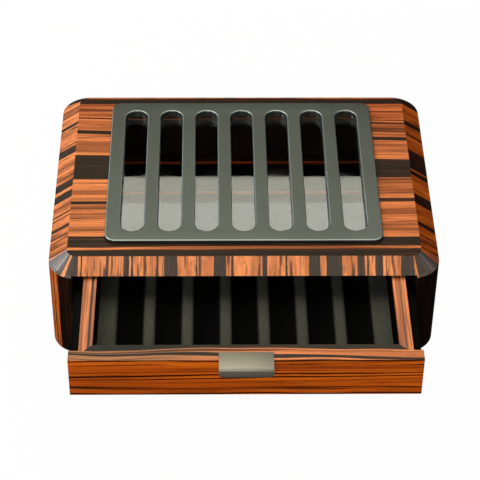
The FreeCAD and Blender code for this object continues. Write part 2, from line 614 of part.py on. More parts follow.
def make_pull(drawer, y0, top):
    """The folded metal pull and its two studs. Returns the tool that cuts their seat in the front."""
    half = "(pull_wide / 2)"
    proud = "(pull_thick - pull_sunk)"
    body = doc.addObject("PartDesign::Body", f"{drawer}_pull_body")
    lip_back = "pull_thick - pull_reach"
    section = [("pull_seat", "0"), ("pull_seat", "pull_thick"), ("0 - pull_reach", "pull_thick"),
               ("0 - pull_reach", "pull_thick - pull_drop"), (lip_back, "pull_thick - pull_drop"),
               (lip_back, "0")]
    strip = pad(body, f"{drawer}_pull_pad", outline(body, f"{drawer}_pull_section", "YZ_Plane", section),
                "pull_wide")
    fold = [f"Edge{i}" for i, edge in enumerate(strip.Shape.Edges, start=1)
            if is_along_x_at(edge, -number("pull_reach"), number("pull_thick"))]
    bend = dress(body, "Fillet", f"{drawer}_pull_bend", strip, fold, Radius="pull_bend")
    corners = [f"Edge{i}" for i, edge in enumerate(bend.Shape.Edges, start=1)
               if is_lip_corner(edge, number("pull_thick - pull_drop"))]
    dress(body, "Fillet", f"{drawer}_pull_corners", bend, corners, Radius="pull_corner")
    place(body, f"0 - {half}", y0, f"{top} - pull_sunk")

    studs = [rod(f"{drawer}_stud_{name}", "stud_wide", "stud_long", f"{side} * stud_space / 2",
                 f"{y0} + pull_seat / 2", f"{top} + {proud} - stud_long")
             for name, side in LEFT_AND_RIGHT.items()]
    stud_tool = merge(f"{drawer}_stud_tool", studs)
    keep(f"{drawer}_pull", carve(f"{drawer}_pull_drilled", body, [stud_tool]))
    keep(f"{drawer}_pull_studs", group(f"{drawer}_stud_group", studs))
    rebate = block(f"{drawer}_pull_rebate", (f"0 - {half} - fit_gap", f"{half} + fit_gap"),
                   (y0, f"{y0} + pull_seat + fit_gap"), (f"{top} - pull_sunk", top))
    return merge(f"{drawer}_pull_seat", [rebate, stud_tool])


def is_along_x_at(edge, y, z):
    middle = edge.CenterOfMass
    return edge.BoundBox.XLength > 1 and abs(middle.y - y) < 0.01 and abs(middle.z - z) < 0.01


def is_lip_corner(edge, z):
    """Whether an edge is a short one across the lip's thickness, at its lower corners."""
    box = edge.BoundBox
    return box.XLength < 0.01 and box.ZLength < 0.01 and abs(box.ZMin - z) < 0.01


make_case()
make_rails()
for drawer_name, opened_by in DRAWERS.items():
    make_drawer(drawer_name, opened_by)
doc.recompute()

# ---------------------------------------------------------------- check and write

for thing in doc.Objects:
    if "Invalid" in thing.State or "Error" in thing.State:
        raise RuntimeError(f"{thing.Name} failed: {thing.State}")
os.makedirs("parts", exist_ok=True)
for node, thing in nodes.items():
    shape = thing.Shape
    if shape.isNull() or not shape.isValid() or not shape.Solids:
        raise RuntimeError(f"{node} has no valid shape")
    shape.exportStep(f"parts/{node}.step")
print(len(nodes), "nodes written,", sum(len(thing.Shape.Solids) for thing in nodes.values()), "solids")
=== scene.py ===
# %% [markdown]
# # A two-drawer pen chest
# The chest is a veneered case with a bevelled, round-cornered top. A slotted metal plate lies over a glass
# window in the lid, and two drawers with grooved trays run on ball-bearing slides. The construction comes
# in as a fixed frame, already at its real size in metres, with +Y to the back and the origin under the
# middle of the case. These cells give every surface its finish, light the chest and place the camera.

# %% Load the frame
import json
import math

import bmesh
import bpy
from mathutils import Matrix, Vector


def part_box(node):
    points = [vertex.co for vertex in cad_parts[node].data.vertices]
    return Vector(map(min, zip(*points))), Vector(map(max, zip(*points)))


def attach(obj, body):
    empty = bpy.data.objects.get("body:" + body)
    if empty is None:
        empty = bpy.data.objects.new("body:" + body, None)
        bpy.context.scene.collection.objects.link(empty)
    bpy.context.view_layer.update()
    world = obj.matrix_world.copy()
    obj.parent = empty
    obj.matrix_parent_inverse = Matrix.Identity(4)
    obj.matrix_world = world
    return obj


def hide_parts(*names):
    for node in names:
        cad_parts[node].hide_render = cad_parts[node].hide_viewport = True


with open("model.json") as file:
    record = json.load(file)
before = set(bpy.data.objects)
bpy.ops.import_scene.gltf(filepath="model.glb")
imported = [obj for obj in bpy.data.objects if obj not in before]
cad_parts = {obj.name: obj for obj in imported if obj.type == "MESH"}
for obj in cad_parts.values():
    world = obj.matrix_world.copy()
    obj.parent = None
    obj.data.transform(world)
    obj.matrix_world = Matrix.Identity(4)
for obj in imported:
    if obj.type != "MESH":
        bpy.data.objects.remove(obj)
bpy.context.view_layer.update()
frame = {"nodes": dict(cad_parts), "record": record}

nodes = frame["nodes"]
MM = 0.001

# %% [markdown]
# ## Measures taken from the frame
# Everything is placed from the frame's own boxes, so the script holds few numbers of its own. The case's
# outline is a rectangle with round corners, and its straight sides end where the corners' centres are.

# %% Case measures
CASE_HALF_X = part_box("right_side")[1].x
CASE_HALF_Y = 103.5 * MM
FRONT_Y = -CASE_HALF_Y
CORNER = 20 * MM
CORNER_X = CASE_HALF_X - CORNER
CORNER_Y = CASE_HALF_Y - CORNER
LID_LOW, LID_TOP = (corner.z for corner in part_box("lid_panel"))
INSIDE_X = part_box("back_panel")[1].x
INSIDE_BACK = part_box("back_panel")[0].y
print("case half width", round(CASE_HALF_X / MM, 1), "mm, lid top at", round(LID_TOP / MM, 1), "mm")

# %% [markdown]
# ## Camera
# A long lens from in front and above, looking 41 degrees down, sees the lid, the window and the open
# drawer at once. A Track To constraint would aim it too, but it can't tilt it sideways, so its axes are
# turned in three steps: yaw, pitch, then a slight roll.

# %% Camera
CAMERA_PLACE = Vector((-22.65, -1008.5, 895.1)) * MM
CAMERA_YAW, CAMERA_PITCH, CAMERA_ROLL = (math.radians(angle) for angle in (1.213, 41.049, 0.683))
CAMERA_LENS = 134.32
SENSOR_WIDTH = 36
CAMERA_REACH = 50


def add_object(name, data):
    """A new object, linked into the scene."""
    thing = bpy.data.objects.new(name, data)
    bpy.context.scene.collection.objects.link(thing)
    return thing


camera_data = bpy.data.cameras.new("camera")
camera_data.lens = CAMERA_LENS
camera_data.sensor_width = SENSOR_WIDTH
camera_data.clip_end = CAMERA_REACH
camera = add_object("camera", camera_data)
turn = (Matrix.Rotation(-CAMERA_YAW, 4, "Z") @ Matrix.Rotation(math.pi / 2 - CAMERA_PITCH, 4, "X")
        @ Matrix.Rotation(CAMERA_ROLL, 4, "Z"))
camera.matrix_world = Matrix.Translation(CAMERA_PLACE) @ turn
bpy.context.scene.camera = camera
bpy.context.scene.view_settings.view_transform = "Standard"
print("camera", [round(value, 3) for value in camera.location])

# %% [markdown]
# ## Small helpers for node trees
# A material is a tree of nodes. One helper adds a node and joins its inputs, so that each finish below
# reads as a recipe: a value that is a socket is linked, and any other value is set.

# %% Adding nodes
def feed(tree, socket, value):
    """Link a socket to the input, or set a plain value on it."""
    if isinstance(value, bpy.types.NodeSocket):
        tree.links.new(value, socket)
    else:
        socket.default_value = value


def add_node(tree, kind, inputs=None, **settings):
    """A new node. The keys of 'inputs' are socket names or numbers."""
    node = tree.nodes.new(kind)
    for name, value in settings.items():
        setattr(node, name, value)
    for key, value in (inputs or {}).items():
        feed(tree, node.inputs[key], value)
    return node


print("nodes can be added")

# %% Sums, mixes and noise
MIX_FIRST, MIX_SECOND, MIX_RESULT = 6, 7, 2  # where a Mix node keeps its colour sockets


def maths(tree, operation, first, second=0.0):
    """The result of one sum."""
    return add_node(tree, "ShaderNodeMath", {0: first, 1: second}, operation=operation).outputs[0]


def mixed(tree, factor, first, second, blend="MIX"):
    """Two colours mixed: all of the first at 0, all of the second at 1."""
    inputs = {"Factor": factor, MIX_FIRST: first, MIX_SECOND: second}
    return add_node(tree, "ShaderNodeMix", inputs, data_type="RGBA", blend_type=blend).outputs[MIX_RESULT]


def ranged(tree, value, low, high, to_low=0.0, to_high=1.0):
    """The value mapped smoothly from one range to another, and held at its ends."""
    inputs = {"Value": value, "From Min": low, "From Max": high, "To Min": to_low, "To Max": to_high}
    return add_node(tree, "ShaderNodeMapRange", inputs, interpolation_type="SMOOTHSTEP").outputs[0]


def noise(tree, place, scale=1.0, detail=2.0, roughness=0.5):
    """Soft random values round 0.5, the same at the same place on every run."""
    inputs = {"Vector": place, "Scale": scale, "Detail": detail, "Roughness": roughness}
    return add_node(tree, "ShaderNodeTexNoise", inputs).outputs[0]


def own_place(tree):
    """Where a point lies on its own mesh, in metres."""
    return add_node(tree, "ShaderNodeTexCoord").outputs["Object"]


def embossed(tree, height, strength, depth):
    """A normal for relief that is too fine for the mesh."""
    inputs = {"Height": height, "Strength": strength, "Distance": depth}
    return add_node(tree, "ShaderNodeBump", inputs).outputs[0]


print("node helpers ready")

# %% [markdown]
# ## Helpers for groups and materials
# An effect that several finishes share goes into a node group with named sockets, and each material places
# the group with its own values. The main shader stays in the material. What is the same all over a surface
# is set on the shader's own socket, and only what changes over it is linked.

# %% Groups and materials
def new_group(name, inputs, outputs):
    """An empty shader node group with typed sockets. Returns its tree and its input and output sockets."""
    tree = bpy.data.node_groups.new(name, "ShaderNodeTree")
    for label, kind, value in inputs:
        socket = tree.interface.new_socket(label, in_out="INPUT", socket_type=f"NodeSocket{kind}")
        if value is not None:
            socket.default_value = value
    for label, kind in outputs:
        tree.interface.new_socket(label, in_out="OUTPUT", socket_type=f"NodeSocket{kind}")
    return tree, tree.nodes.new("NodeGroupInput").outputs, tree.nodes.new("NodeGroupOutput").inputs


def fill(tree, sockets, values):
    """Feed several sockets. Underscores in the keys stand for spaces."""
    for key, value in values.items():
        feed(tree, sockets[key.replace("_", " ")], value)


def use_group(tree, group, **values):
    """The group placed in a material. Returns its outputs."""
    node = add_node(tree, "ShaderNodeGroup", node_tree=group)
    fill(tree, node.inputs, values)
    return node.outputs


def new_material(name, **values):
    """A material with these plain values on its main shader. Returns it, its tree and the shader's inputs."""
    material = bpy.data.materials.new(name)
    material.use_nodes = True
    tree = material.node_tree
    sockets = tree.nodes["Principled BSDF"].inputs
    fill(tree, sockets, values)
    return material, tree, sockets


print("group and material helpers ready")

# %% [markdown]
# ## Striped ebony veneer
# The veneer is cut from a wood whose heart alternates between orange-brown and near-black bands. A
# scanned sheet would repeat and blur on so many different faces, so nodes draw it. The broad bands of
# each face are given as a list of where they lie across the grain, because they make the chest's
# character. Everything finer comes from stretched noise: thin dark lines, soft changes of tone, the fibres
# and the short open pores. One group bends the grain a little, and another paints it.

# %% Grain path group
CURL = 0.35  # the wander changes this much faster across the grain than along it
SWING = 4.0  # brings the noise's small spread up to the wander asked for

GRAIN_PATH, given, result = new_group(
    "grain_path",
    [("Flat Place", "Vector", None), ("Wander", "Float", 0.001), ("Wander Length", "Float", 0.08),
     ("Seed", "Float", 0.0)],
    [("Along", "Float"), ("Across", "Float")])
parts = add_node(GRAIN_PATH, "ShaderNodeSeparateXYZ", {0: given["Flat Place"]}).outputs
length_across = maths(GRAIN_PATH, "MULTIPLY", given["Wander Length"], CURL)
slow = add_node(GRAIN_PATH, "ShaderNodeCombineXYZ", {
    "X": maths(GRAIN_PATH, "DIVIDE", parts["X"], given["Wander Length"]),
    "Y": maths(GRAIN_PATH, "DIVIDE", parts["Y"], length_across),
    "Z": given["Seed"]}).outputs[0]
sway = maths(GRAIN_PATH, "SUBTRACT", noise(GRAIN_PATH, slow, 1.0, 1.5, 0.45), 0.5)
shift = maths(GRAIN_PATH, "MULTIPLY", sway, maths(GRAIN_PATH, "MULTIPLY", given["Wander"], SWING))
fill(GRAIN_PATH, result, {"Along": parts["X"], "Across": maths(GRAIN_PATH, "ADD", parts["Y"], shift)})
print("grain path group has", len(GRAIN_PATH.nodes), "nodes")


# %% Veneer figure group
def stretched_noise(tree, along, across, seed, per_metre_along, per_metre_across, detail=2.0, roughness=0.5):
    """Noise drawn out along the grain."""
    place = add_node(tree, "ShaderNodeCombineXYZ", {"X": maths(tree, "MULTIPLY", along, per_metre_along),
                                                    "Y": maths(tree, "MULTIPLY", across, per_metre_across),
                                                    "Z": seed}).outputs[0]
    return noise(tree, place, 1.0, detail, roughness)


VENEER_FIGURE, given, result = new_group(
    "veneer_figure",
    [("Along", "Float", 0.0), ("Across", "Float", 0.0), ("Bands", "Float", 0.0), ("Seed", "Float", 0.0),
     ("Pale", "Color", (0.84, 0.258, 0.085, 1)), ("Warm", "Color", (0.32, 0.090, 0.029, 1)),
     ("Brown", "Color", (0.110, 0.036, 0.014, 1)), ("Ebony", "Color", (0.022, 0.015, 0.009, 1)),
     ("Line Amount", "Float", 0.85)],
    [("Color", "Color"), ("Roughness", "Float"), ("Height", "Float")])
grain = (VENEER_FIGURE, given["Along"], given["Across"], given["Seed"])
tone = stretched_noise(*grain, 5, 150)
streak = stretched_noise(*grain, 14, 700, 3.0, 0.6)
lines = stretched_noise(*grain, 4, 300, 2.5, 0.55)
fibre = stretched_noise(*grain, 60, 1900, 3.0, 0.7)
pore = stretched_noise(*grain, 150, 2600, 1.0)
print("the figure follows five stretched noises")

# %% Colour and relief of the figure
# Each mark is drawn over the last: the noise it follows, the values between which it fades in, its strength
# and its colour.
marks = ((fibre, 0.38, 0.70, 0.55, "Warm"), (streak, 0.50, 0.70, 0.70, "Brown"),
         (lines, 0.57, 0.65, given["Line Amount"], "Brown"), (pore, 0.64, 0.72, 0.60, "Brown"))
ground = mixed(VENEER_FIGURE, ranged(VENEER_FIGURE, tone, 0.38, 0.64), given["Pale"], given["Warm"])
for source, low, high, most, colour in marks:
    ground = mixed(VENEER_FIGURE, ranged(VENEER_FIGURE, source, low, high, 0.0, most), ground, given[colour])
heart = mixed(VENEER_FIGURE, ranged(VENEER_FIGURE, streak, 0.46, 0.74, 0.0, 0.60),
              given["Ebony"], given["Brown"])

# The streaks also fray the bands' edges, and the pores are the deepest part of the relief.
FRAYING = 0.7
FIBRE_RELIEF = 0.4
ragged = maths(VENEER_FIGURE, "MULTIPLY", maths(VENEER_FIGURE, "SUBTRACT", streak, 0.5), FRAYING)
in_band = ranged(VENEER_FIGURE, maths(VENEER_FIGURE, "ADD", given["Bands"], ragged), 0.38, 0.60)
relief = maths(VENEER_FIGURE, "SUBTRACT", maths(VENEER_FIGURE, "MULTIPLY", fibre, FIBRE_RELIEF),
               ranged(VENEER_FIGURE, pore, 0.64, 0.72))
fill(VENEER_FIGURE, result, {"Color": mixed(VENEER_FIGURE, in_band, ground, heart), "Height": relief,
                             "Roughness": ranged(VENEER_FIGURE, fibre, 0.2, 0.8, 0.34, 0.46)})
print("veneer figure group has", len(VENEER_FIGURE.nodes), "nodes")

# %% [markdown]
# ## From a list of bands to a mask
# Each face's bands are written as (middle, width, depth) in millimetres across the grain. A sum per band
# would take hundreds of nodes, and a colour ramp does many at once. It holds at most 32 stops, and a band
# with soft edges takes four, so a long list is dealt out over several ramps and the darkest of them wins.
# Neighbours go to different ramps, so that they may overlap. A ramp can also say how far each place leans
# sideways, which lets bands run out of square, as they do in a real sheet.

# %% Ramps over a face
def over_face(tree, across, low, high):
    """From 0 at the face's 'low' end to 1 at its 'high' end, which are given in mm."""
    inputs = {"Value": across, "From Min": low * MM, "From Max": high * MM}
    return add_node(tree, "ShaderNodeMapRange", inputs).outputs[0]


def face_ramp(tree, spread, low, high, ends, levels, interpolation="LINEAR"):
    """A ramp of greys over the face. 'levels' are pairs of a place in mm and a level."""
    ramp = add_node(tree, "ShaderNodeValToRGB", {0: spread})
    ramp.color_ramp.interpolation = interpolation
    stops = ramp.color_ramp.elements
    for stop in stops:
        stop.color = (ends, ends, ends, 1)
    for place, level in levels:
        stops.new(min(max((place - low) / (high - low), 0.0), 1.0)).color = (level, level, level, 1)
    return ramp.outputs[0]


print("a ramp can be laid over a face")

# %% Band mask and drift
BANDS_PER_RAMP = 7
FEWEST_RAMPS = 2
EDGE = 0.7  # half the width over which a band's edge fades, in mm
DRIFT_MOST = 10  # the most a place can move sideways, in mm
DRIFT_LENGTH = 212  # the length over which it moves, in mm


def band_mask(tree, across, bands, low, high):
    """0 between the bands and up to 1 inside them."""
    spread = over_face(tree, across, low, high)
    ordered = sorted(bands)
    ramps = max(FEWEST_RAMPS, math.ceil(len(ordered) / BANDS_PER_RAMP))
    mask = 0.0
    for number in range(ramps):
        levels = []
        for middle, width, depth in ordered[number::ramps]:
            for offset, level in ((-width / 2 - EDGE, 0), (-width / 2 + EDGE, depth),
                                  (width / 2 - EDGE, depth), (width / 2 + EDGE, 0)):
                levels.append((middle + offset, level))
        mask = maths(tree, "MAXIMUM", mask, face_ramp(tree, spread, low, high, 0, levels))
    return mask


def drifted(tree, along, across, drift, low, high):
    """Shear the grain a little. 'drift' says how many mm a place moves over the face's whole length."""
    levels = [(middle, 0.5 + moved / (2 * DRIFT_MOST)) for middle, moved in drift]
    level = face_ramp(tree, over_face(tree, across, low, high), low, high, 0.5, levels, "EASE")
    slope = maths(tree, "MULTIPLY", maths(tree, "SUBTRACT", level, 0.5), 2 * DRIFT_MOST / DRIFT_LENGTH)
    return maths(tree, "SUBTRACT", across, maths(tree, "MULTIPLY", slope, along))


print("up to", BANDS_PER_RAMP, "bands go on one ramp")

# %% [markdown]
# ## One veneer for each face
# Every veneered face is a separate sheet with its own bands, so each gets its own material, made by one
# function. The figure is laid out by a map named "veneer", which holds metres along and across the grain.
# Some sheets get a tint that fades in: a smoky tone on a drawer's edge, and painted shade on the lid.

# %% Veneer material
PORE_RELIEF = 0.06
PORE_DEPTH = 0.3 * MM


def veneer_material(name, bands, low, high, wander=0.8, wander_length=80, seed=0.0, gloss=0.2, liveliness=1.0,
                    drift=None, tone_and_shade=None, **figure):
    """Lacquered veneer for one face, whose bands lie from 'low' to 'high' mm across the grain.

    A higher 'liveliness' makes the figure change faster along the grain. 'aged' is a tint and a list of
    A tint can be given with a list of where it fades in: the direction, the mm where it starts and
    where it is full, and how much. It is a real tone on some faces and painted shade on others.
    """
    material, tree, sockets = new_material(name, Specular_IOR_Level=gloss)
    place = add_node(tree, "ShaderNodeUVMap", uv_map="veneer").outputs[0]
    path = use_group(tree, GRAIN_PATH, Flat_Place=place, Wander=wander * MM, Wander_Length=wander_length * MM,
                     Seed=seed)
    across = path["Across"]
    if drift:
        across = drifted(tree, path["Along"], across, drift, low, high)
    look = use_group(tree, VENEER_FIGURE, Along=maths(tree, "MULTIPLY", path["Along"], liveliness),
                     Across=across, Seed=seed, Bands=band_mask(tree, across, bands, low, high), **figure)
    colour = look["Color"]
    # A tint that fades in over the face: a smoky tone on a drawer's edge, painted shade on the lid.
    if tone_and_shade:
        tint, places = tone_and_shade
        amount = 0.0
        for direction, start, full, most in places:
            taken = ranged(tree, path[direction], start * MM, full * MM, 0.0, most)
            amount = maths(tree, "ADD", amount, taken)
        colour = mixed(tree, amount, colour, tint, "MULTIPLY")
    fill(tree, sockets, {"Base Color": colour, "Roughness": look["Roughness"],
                         "Normal": embossed(tree, look["Height"], PORE_RELIEF, PORE_DEPTH)})
    return material


print("veneer materials can be made")

# %% [markdown]
# ## The veneers of the case
# The lid's flat has its grain from left to right, and its colour darkens towards the back and the right,
# which is painted shade. The bevels are cross-banded: their grain runs down the slope, so their stripes
# stand across each edge and fan out round the corners, where hands have polished the front ones. The walls'
# grain is upright and wraps round the corners in one sheet. Band places are measured across the grain, from
# the case's front plane on faces that run front to back, and from its middle on faces that run left to right.

# %% Bands of the lid and its bevels
DEPTH = 2 * CASE_HALF_Y / MM
LID_BANDS = [(15.8, 8, 1), (24.6, 4.4, 0.66), (29.8, 7.4, 1), (41, 1.2, 0.6), (49, 0.9, 0.5), (54, 1.5, 0.7),
             (71.4, 3.8, 1), (93.6, 7, 0.4), (109.4, 24.4, 1), (124.6, 5, 0.4), (136, 1, 0.4), (144, 4, 0.42),
             (148, 4.6, 1), (166, 2, 0.9), (169.6, 1.0, 0.85), (178.2, 1.1, 0.95), (190, 6.3, 1)]
LID_DRIFT = [(14, 0), (21, 1.6), (25, 1), (31, -1), (41, 0), (54, 2), (72, 3), (97, 1.5), (121, -5),
             (148, -8), (166, -6), (178.2, -2.7), (186, 0), (190, 0)]
LEFT_BEVEL_BANDS = [(7.2, 20.6, 1), (20.8, 1.4, 0.7), (31, 1, 0.5), (38, 3.4, 0.5), (43, 1.4, 0.6),
                    (47.2, 3.4, 1), (62, 1.8, 1), (71, 1.2, 0.7), (76, 2, 0.4), (82, 8, 1), (94.2, 8.4, 1),
                    (104, 3, 0.55), (112, 2, 0.5), (124, 1, 0.4), (133.2, 8.4, 1), (140.6, 1.4, 1),
                    (145, 1, 0.6), (159, 4.6, 0.52), (163.9, 3.7, 1), (177.8, 1.4, 1), (184.7, 0.9, 0.8),
                    (204, 17, 1)]
RIGHT_BEVEL_BANDS = [(7, 14, 1), (22, 2, 0.7), (29, 1.8, 0.8), (36, 3, 0.5), (48, 4.6, 1), (57, 2, 0.45),
                     (65, 1.6, 0.5), (75.5, 11, 1), (88, 2, 0.4), (104.5, 5, 1), (113, 8, 1), (124, 14, 1),
                     (119, 5, 0.6), (141, 1.4, 0.5), (150, 2, 1), (160, 4, 0.5), (164.5, 5, 1),
                     (171, 3, 0.5), (177, 1.4, 0.7), (200, 26, 1)]
FRONT_BEVEL_BANDS = [(-134, 15, 1), (-118.6, 9.4, 1), (-111.6, 1, 0.8), (-107, 1.2, 0.6), (-103, 2, 0.45),
                     (-94, 1.6, 0.9), (-90, 1, 0.4), (-81, 4, 1), (-77, 3, 0.6), (-69, 2, 0.45),
                     (-64.5, 1, 0.5), (-59.5, 1.6, 0.9), (-56, 1, 0.6), (-50.5, 9, 1), (-40, 1, 0.4),
                     (-33, 1.2, 0.7), (-28, 2, 0.4), (-17, 8.4, 1), (-8.4, 2.4, 0.8), (0, 1.4, 0.4),
                     (4, 2.4, 0.45), (10, 3, 0.5), (13.8, 3.4, 1), (28.6, 1.2, 1), (36, 1, 0.45),
                     (42, 1.6, 0.5), (48, 8, 1), (55.6, 1.2, 0.4), (61.4, 11, 1), (73, 2, 0.5), (80, 5, 1),
                     (84.6, 1.6, 0.8), (88, 1.4, 0.7), (92.4, 5.4, 0.9), (99, 1.6, 0.5), (112.3, 9.8, 1),
                     (129.8, 20.6, 1)]
BACK_BEVEL_BANDS = [(-123, 18, 1), (-96, 3, 0.8), (-71, 10, 1), (-48, 2, 0.6), (-30, 6, 1), (-8, 9, 1),
                    (14, 2, 0.7), (37, 12, 1), (60, 3, 0.7), (81, 7, 1), (101, 2, 0.6), (123, 18, 1)]
print("the front bevel has", len(FRONT_BEVEL_BANDS), "bands, the lid", len(LID_BANDS))

# %% Bands of the walls
LEFT_WALL_BANDS = [(-17, 7, 1), (-9.4, 9, 0.8), (-1, 8.6, 1), (5, 1.2, 0.7), (7.6, 1.4, 0.9),
                   (10.6, 0.9, 0.6), (15, 1.6, 0.9), (22, 5, 1), (38, 12, 1), (60, 2, 0.6), (74, 9, 1),
                   (97, 3, 0.8), (118, 14, 1), (139, 2, 0.5), (150, 7, 1), (171, 3, 0.7), (188, 10, 1),
                   (214, 5, 1)]
# The black bands at the right wall's front are partly painted shade.
RIGHT_WALL_BANDS = [(4, 40, 1), (33, 12, 1), (47, 3, 0.7), (62, 8, 1), (83, 4, 0.8), (104, 20, 1),
                    (131, 3, 0.6), (143, 9, 1), (160, 2, 0.7), (180, 14, 1), (205, 8, 1)]
BACK_WALL_BANDS = [(-120, 12, 1), (-98, 5, 0.9), (-74, 13, 1), (-52, 3, 0.7), (-31, 10, 1), (-9, 2, 0.6),
                   (12, 15, 1), (36, 4, 0.8), (55, 11, 1), (76, 2, 0.6), (97, 14, 1), (124, 7, 1)]
print("the walls have", len(LEFT_WALL_BANDS + RIGHT_WALL_BANDS + BACK_WALL_BANDS), "bands")

# %% Case veneers
DEEP = {"Pale": (0.56, 0.130, 0.016, 1), "Warm": (0.34, 0.066, 0.007, 1), "Brown": (0.070, 0.014, 0.003, 1),
        "Ebony": (0.008, 0.004, 0.003, 1)}
# A darker copy of the deep palette, which is partly painted shade on the right wall.
DARK_AND_SHADED = {"Pale": (0.40, 0.085, 0.014, 1), "Warm": (0.25, 0.042, 0.006, 1), "Brown": (0.040, 0.008, 0.002, 1),
        "Ebony": (0.005, 0.003, 0.002, 1)}
# Painted shade: the lid's colour is multiplied by this tint towards the back and the right.
PAINTED_SHADE_TINT = (0.66, 0.50, 0.42, 1)
POLISHED = 0.8
BEVEL_LOOK = {"wander": 0.15, "liveliness": 6}
SIDE_LOOK = {"low": -10, "high": DEPTH + 10, **BEVEL_LOOK}
END_LOOK = {"low": -140, "high": 140, **BEVEL_LOOK}
LEFT_LOOK = {"bands": LEFT_BEVEL_BANDS, "seed": 2.1, **SIDE_LOOK}
# The right bevel's colours are darker than the left one's, partly painted shade on the side away from the
# lamps.
RIGHT_LOOK = {"bands": RIGHT_BEVEL_BANDS, "seed": 3.7, **SIDE_LOOK, **DEEP,
              "Pale": (0.44, 0.092, 0.008, 1), "Warm": (0.24, 0.042, 0.004, 1)}
WALL_LOOK = {"wander": 0.5, "gloss": 0.04, "liveliness": 2}

# The lid's colour darkens towards the back and the right, which is painted shade.
lid_flat = veneer_material("lid_veneer", LID_BANDS, 0, DEPTH, wander=0.7, wander_length=110, seed=1.3,
                           gloss=0.045, drift=LID_DRIFT, Ebony=(0.020, 0.0135, 0.0085, 1),
                           tone_and_shade=(PAINTED_SHADE_TINT, [("Across", 125, 190, 0.75), ("Along", -110, 110, 0.38)]))
left_bevel = veneer_material("left_bevel_veneer", gloss=0.02, **LEFT_LOOK)
left_corner = veneer_material("left_corner_veneer", gloss=POLISHED, **LEFT_LOOK)
right_bevel = veneer_material("right_bevel_veneer", gloss=0.03, **RIGHT_LOOK)
right_corner = veneer_material("right_corner_veneer", gloss=POLISHED, **RIGHT_LOOK)
# The front bevel's colours are brighter than the other bevels', partly painted light where it faces the lamps
# in front.
front_bevel = veneer_material("front_bevel_veneer", FRONT_BEVEL_BANDS, seed=4.2, gloss=0.3, **END_LOOK,
                              Pale=(0.92, 0.30, 0.095, 1), Warm=(0.56, 0.172, 0.054, 1), Line_Amount=1.0)
back_bevel = veneer_material("back_bevel_veneer", BACK_BEVEL_BANDS, seed=5.9, gloss=0.1, **END_LOOK, **DEEP)
side_left = veneer_material("left_side_veneer", LEFT_WALL_BANDS, -30, DEPTH + 30, seed=6.4, **WALL_LOOK,
                            **{**DEEP, "Pale": (0.74, 0.175, 0.030, 1)})
# The right wall takes the darker palette, partly painted shade on the side away from the lamps.
side_right = veneer_material("right_side_veneer", RIGHT_WALL_BANDS, -30, DEPTH + 30, seed=7.8, **WALL_LOOK,
                             **DARK_AND_SHADED)
back_wall = veneer_material("back_veneer", BACK_WALL_BANDS, -140, 140, seed=8.5, **WALL_LOOK, **DEEP)
print("case veneers:", [material.name for material in bpy.data.materials if "veneer" in material.name])

# %% [markdown]
# ## The veneers of the drawers
# The drawers' grain runs along each board. A drawer's face shows a few wavy dark lines on a deeper brown,
# and the figure of its top edge carries on over the joint into the box's front wall. The left half of that
# edge has gone smoky. The back board is hardly seen, and its veneers are dark and plain.

# %% Drawer veneers
FACE_BANDS = [(1.2, 1.6, 0.8), (6.8, 4, 0.5), (16.0, 1.1, 0.85), (19.2, 1.0, 0.95), (22.2, 0.9, 0.5),
              (28.0, 2.4, 0.42), (31.6, 0.9, 0.8)]
FACE_DRIFT = [(4, 0), (7.5, -1), (11, 1), (16, 5), (19.2, 4), (22.2, 2.4), (26, 0)]
EDGE_BANDS = [(0.5, 0.8, 0.5), (4.4, 3.4, 0.8), (8.6, 1.6, 0.5), (13.4, 6.2, 1), (19, 3, 0.4)]
EDGE_DRIFT = [(0.5, 0), (4.4, -3), (8.6, 2), (12, 2), (15, 0)]
BOARD_BANDS = [(-108, 0.9, 0.5), (-103.4, 2.2, 0.8), (104, 0.8, 0.4)]
RICH = {"Pale": (0.80, 0.155, 0.006, 1), "Warm": (0.50, 0.078, 0.002, 1), "Brown": (0.090, 0.016, 0.002, 1),
        "Ebony": (0.030, 0.006, 0.002, 1)}
SMOKY = (0.46, 0.61, 0.78, 1)
BACK_LOOK = {"wander": 0.2, "gloss": 0.05}

drawer_face = veneer_material("drawer_face_veneer", FACE_BANDS, -6, 40, wander=1.3, wander_length=90,
                              seed=11.2, gloss=0.04, drift=FACE_DRIFT, Line_Amount=0.4, **RICH)
drawer_edge = veneer_material("drawer_edge_veneer", EDGE_BANDS, -6, 24, wander=2.4, wander_length=80,
                              seed=12.4, gloss=0.1, drift=EDGE_DRIFT, Warm=(0.50, 0.150, 0.050, 1),
                              tone_and_shade=(SMOKY, [("Along", 15, -60, 1.0)]))
back_edge = veneer_material("back_edge_veneer", [(5.6, 9.6, 1)], -6, 16, seed=14.6, **BACK_LOOK, **DEEP)
back_face = veneer_material("back_face_veneer", [(26.4, 1.8, 0.8)], -6, 40, seed=15.8, **BACK_LOOK, **DARK_AND_SHADED)
board_edge = veneer_material("board_edge_veneer", BOARD_BANDS, -120, 120, wander=0.3, seed=13.1)
board_face = veneer_material("board_face_veneer", [(8, 1, 0.6), (19, 2, 0.8), (26, 1, 0.5)], -6, 40,
                             seed=14.6, **DEEP)
print("drawer veneers made")

# %% [markdown]
# ## Pieces with eased edges
# The frame's solids have knife-sharp edges, and real veneered edges are broken with fine paper, so each
# catches a thin line of light. A shader can fake that line, but the outline would stay sharp. So each piece
# is copied, its flat facets are joined again, and its edges get a small round in real geometry. A rule per
# piece says which veneer a face wears and where it lies along and across the grain.

# %% Eased copies
SHARP_EDGE = math.radians(28)
SAME_PLANE = math.radians(0.6)
SAME_POINT = 0.002 * MM


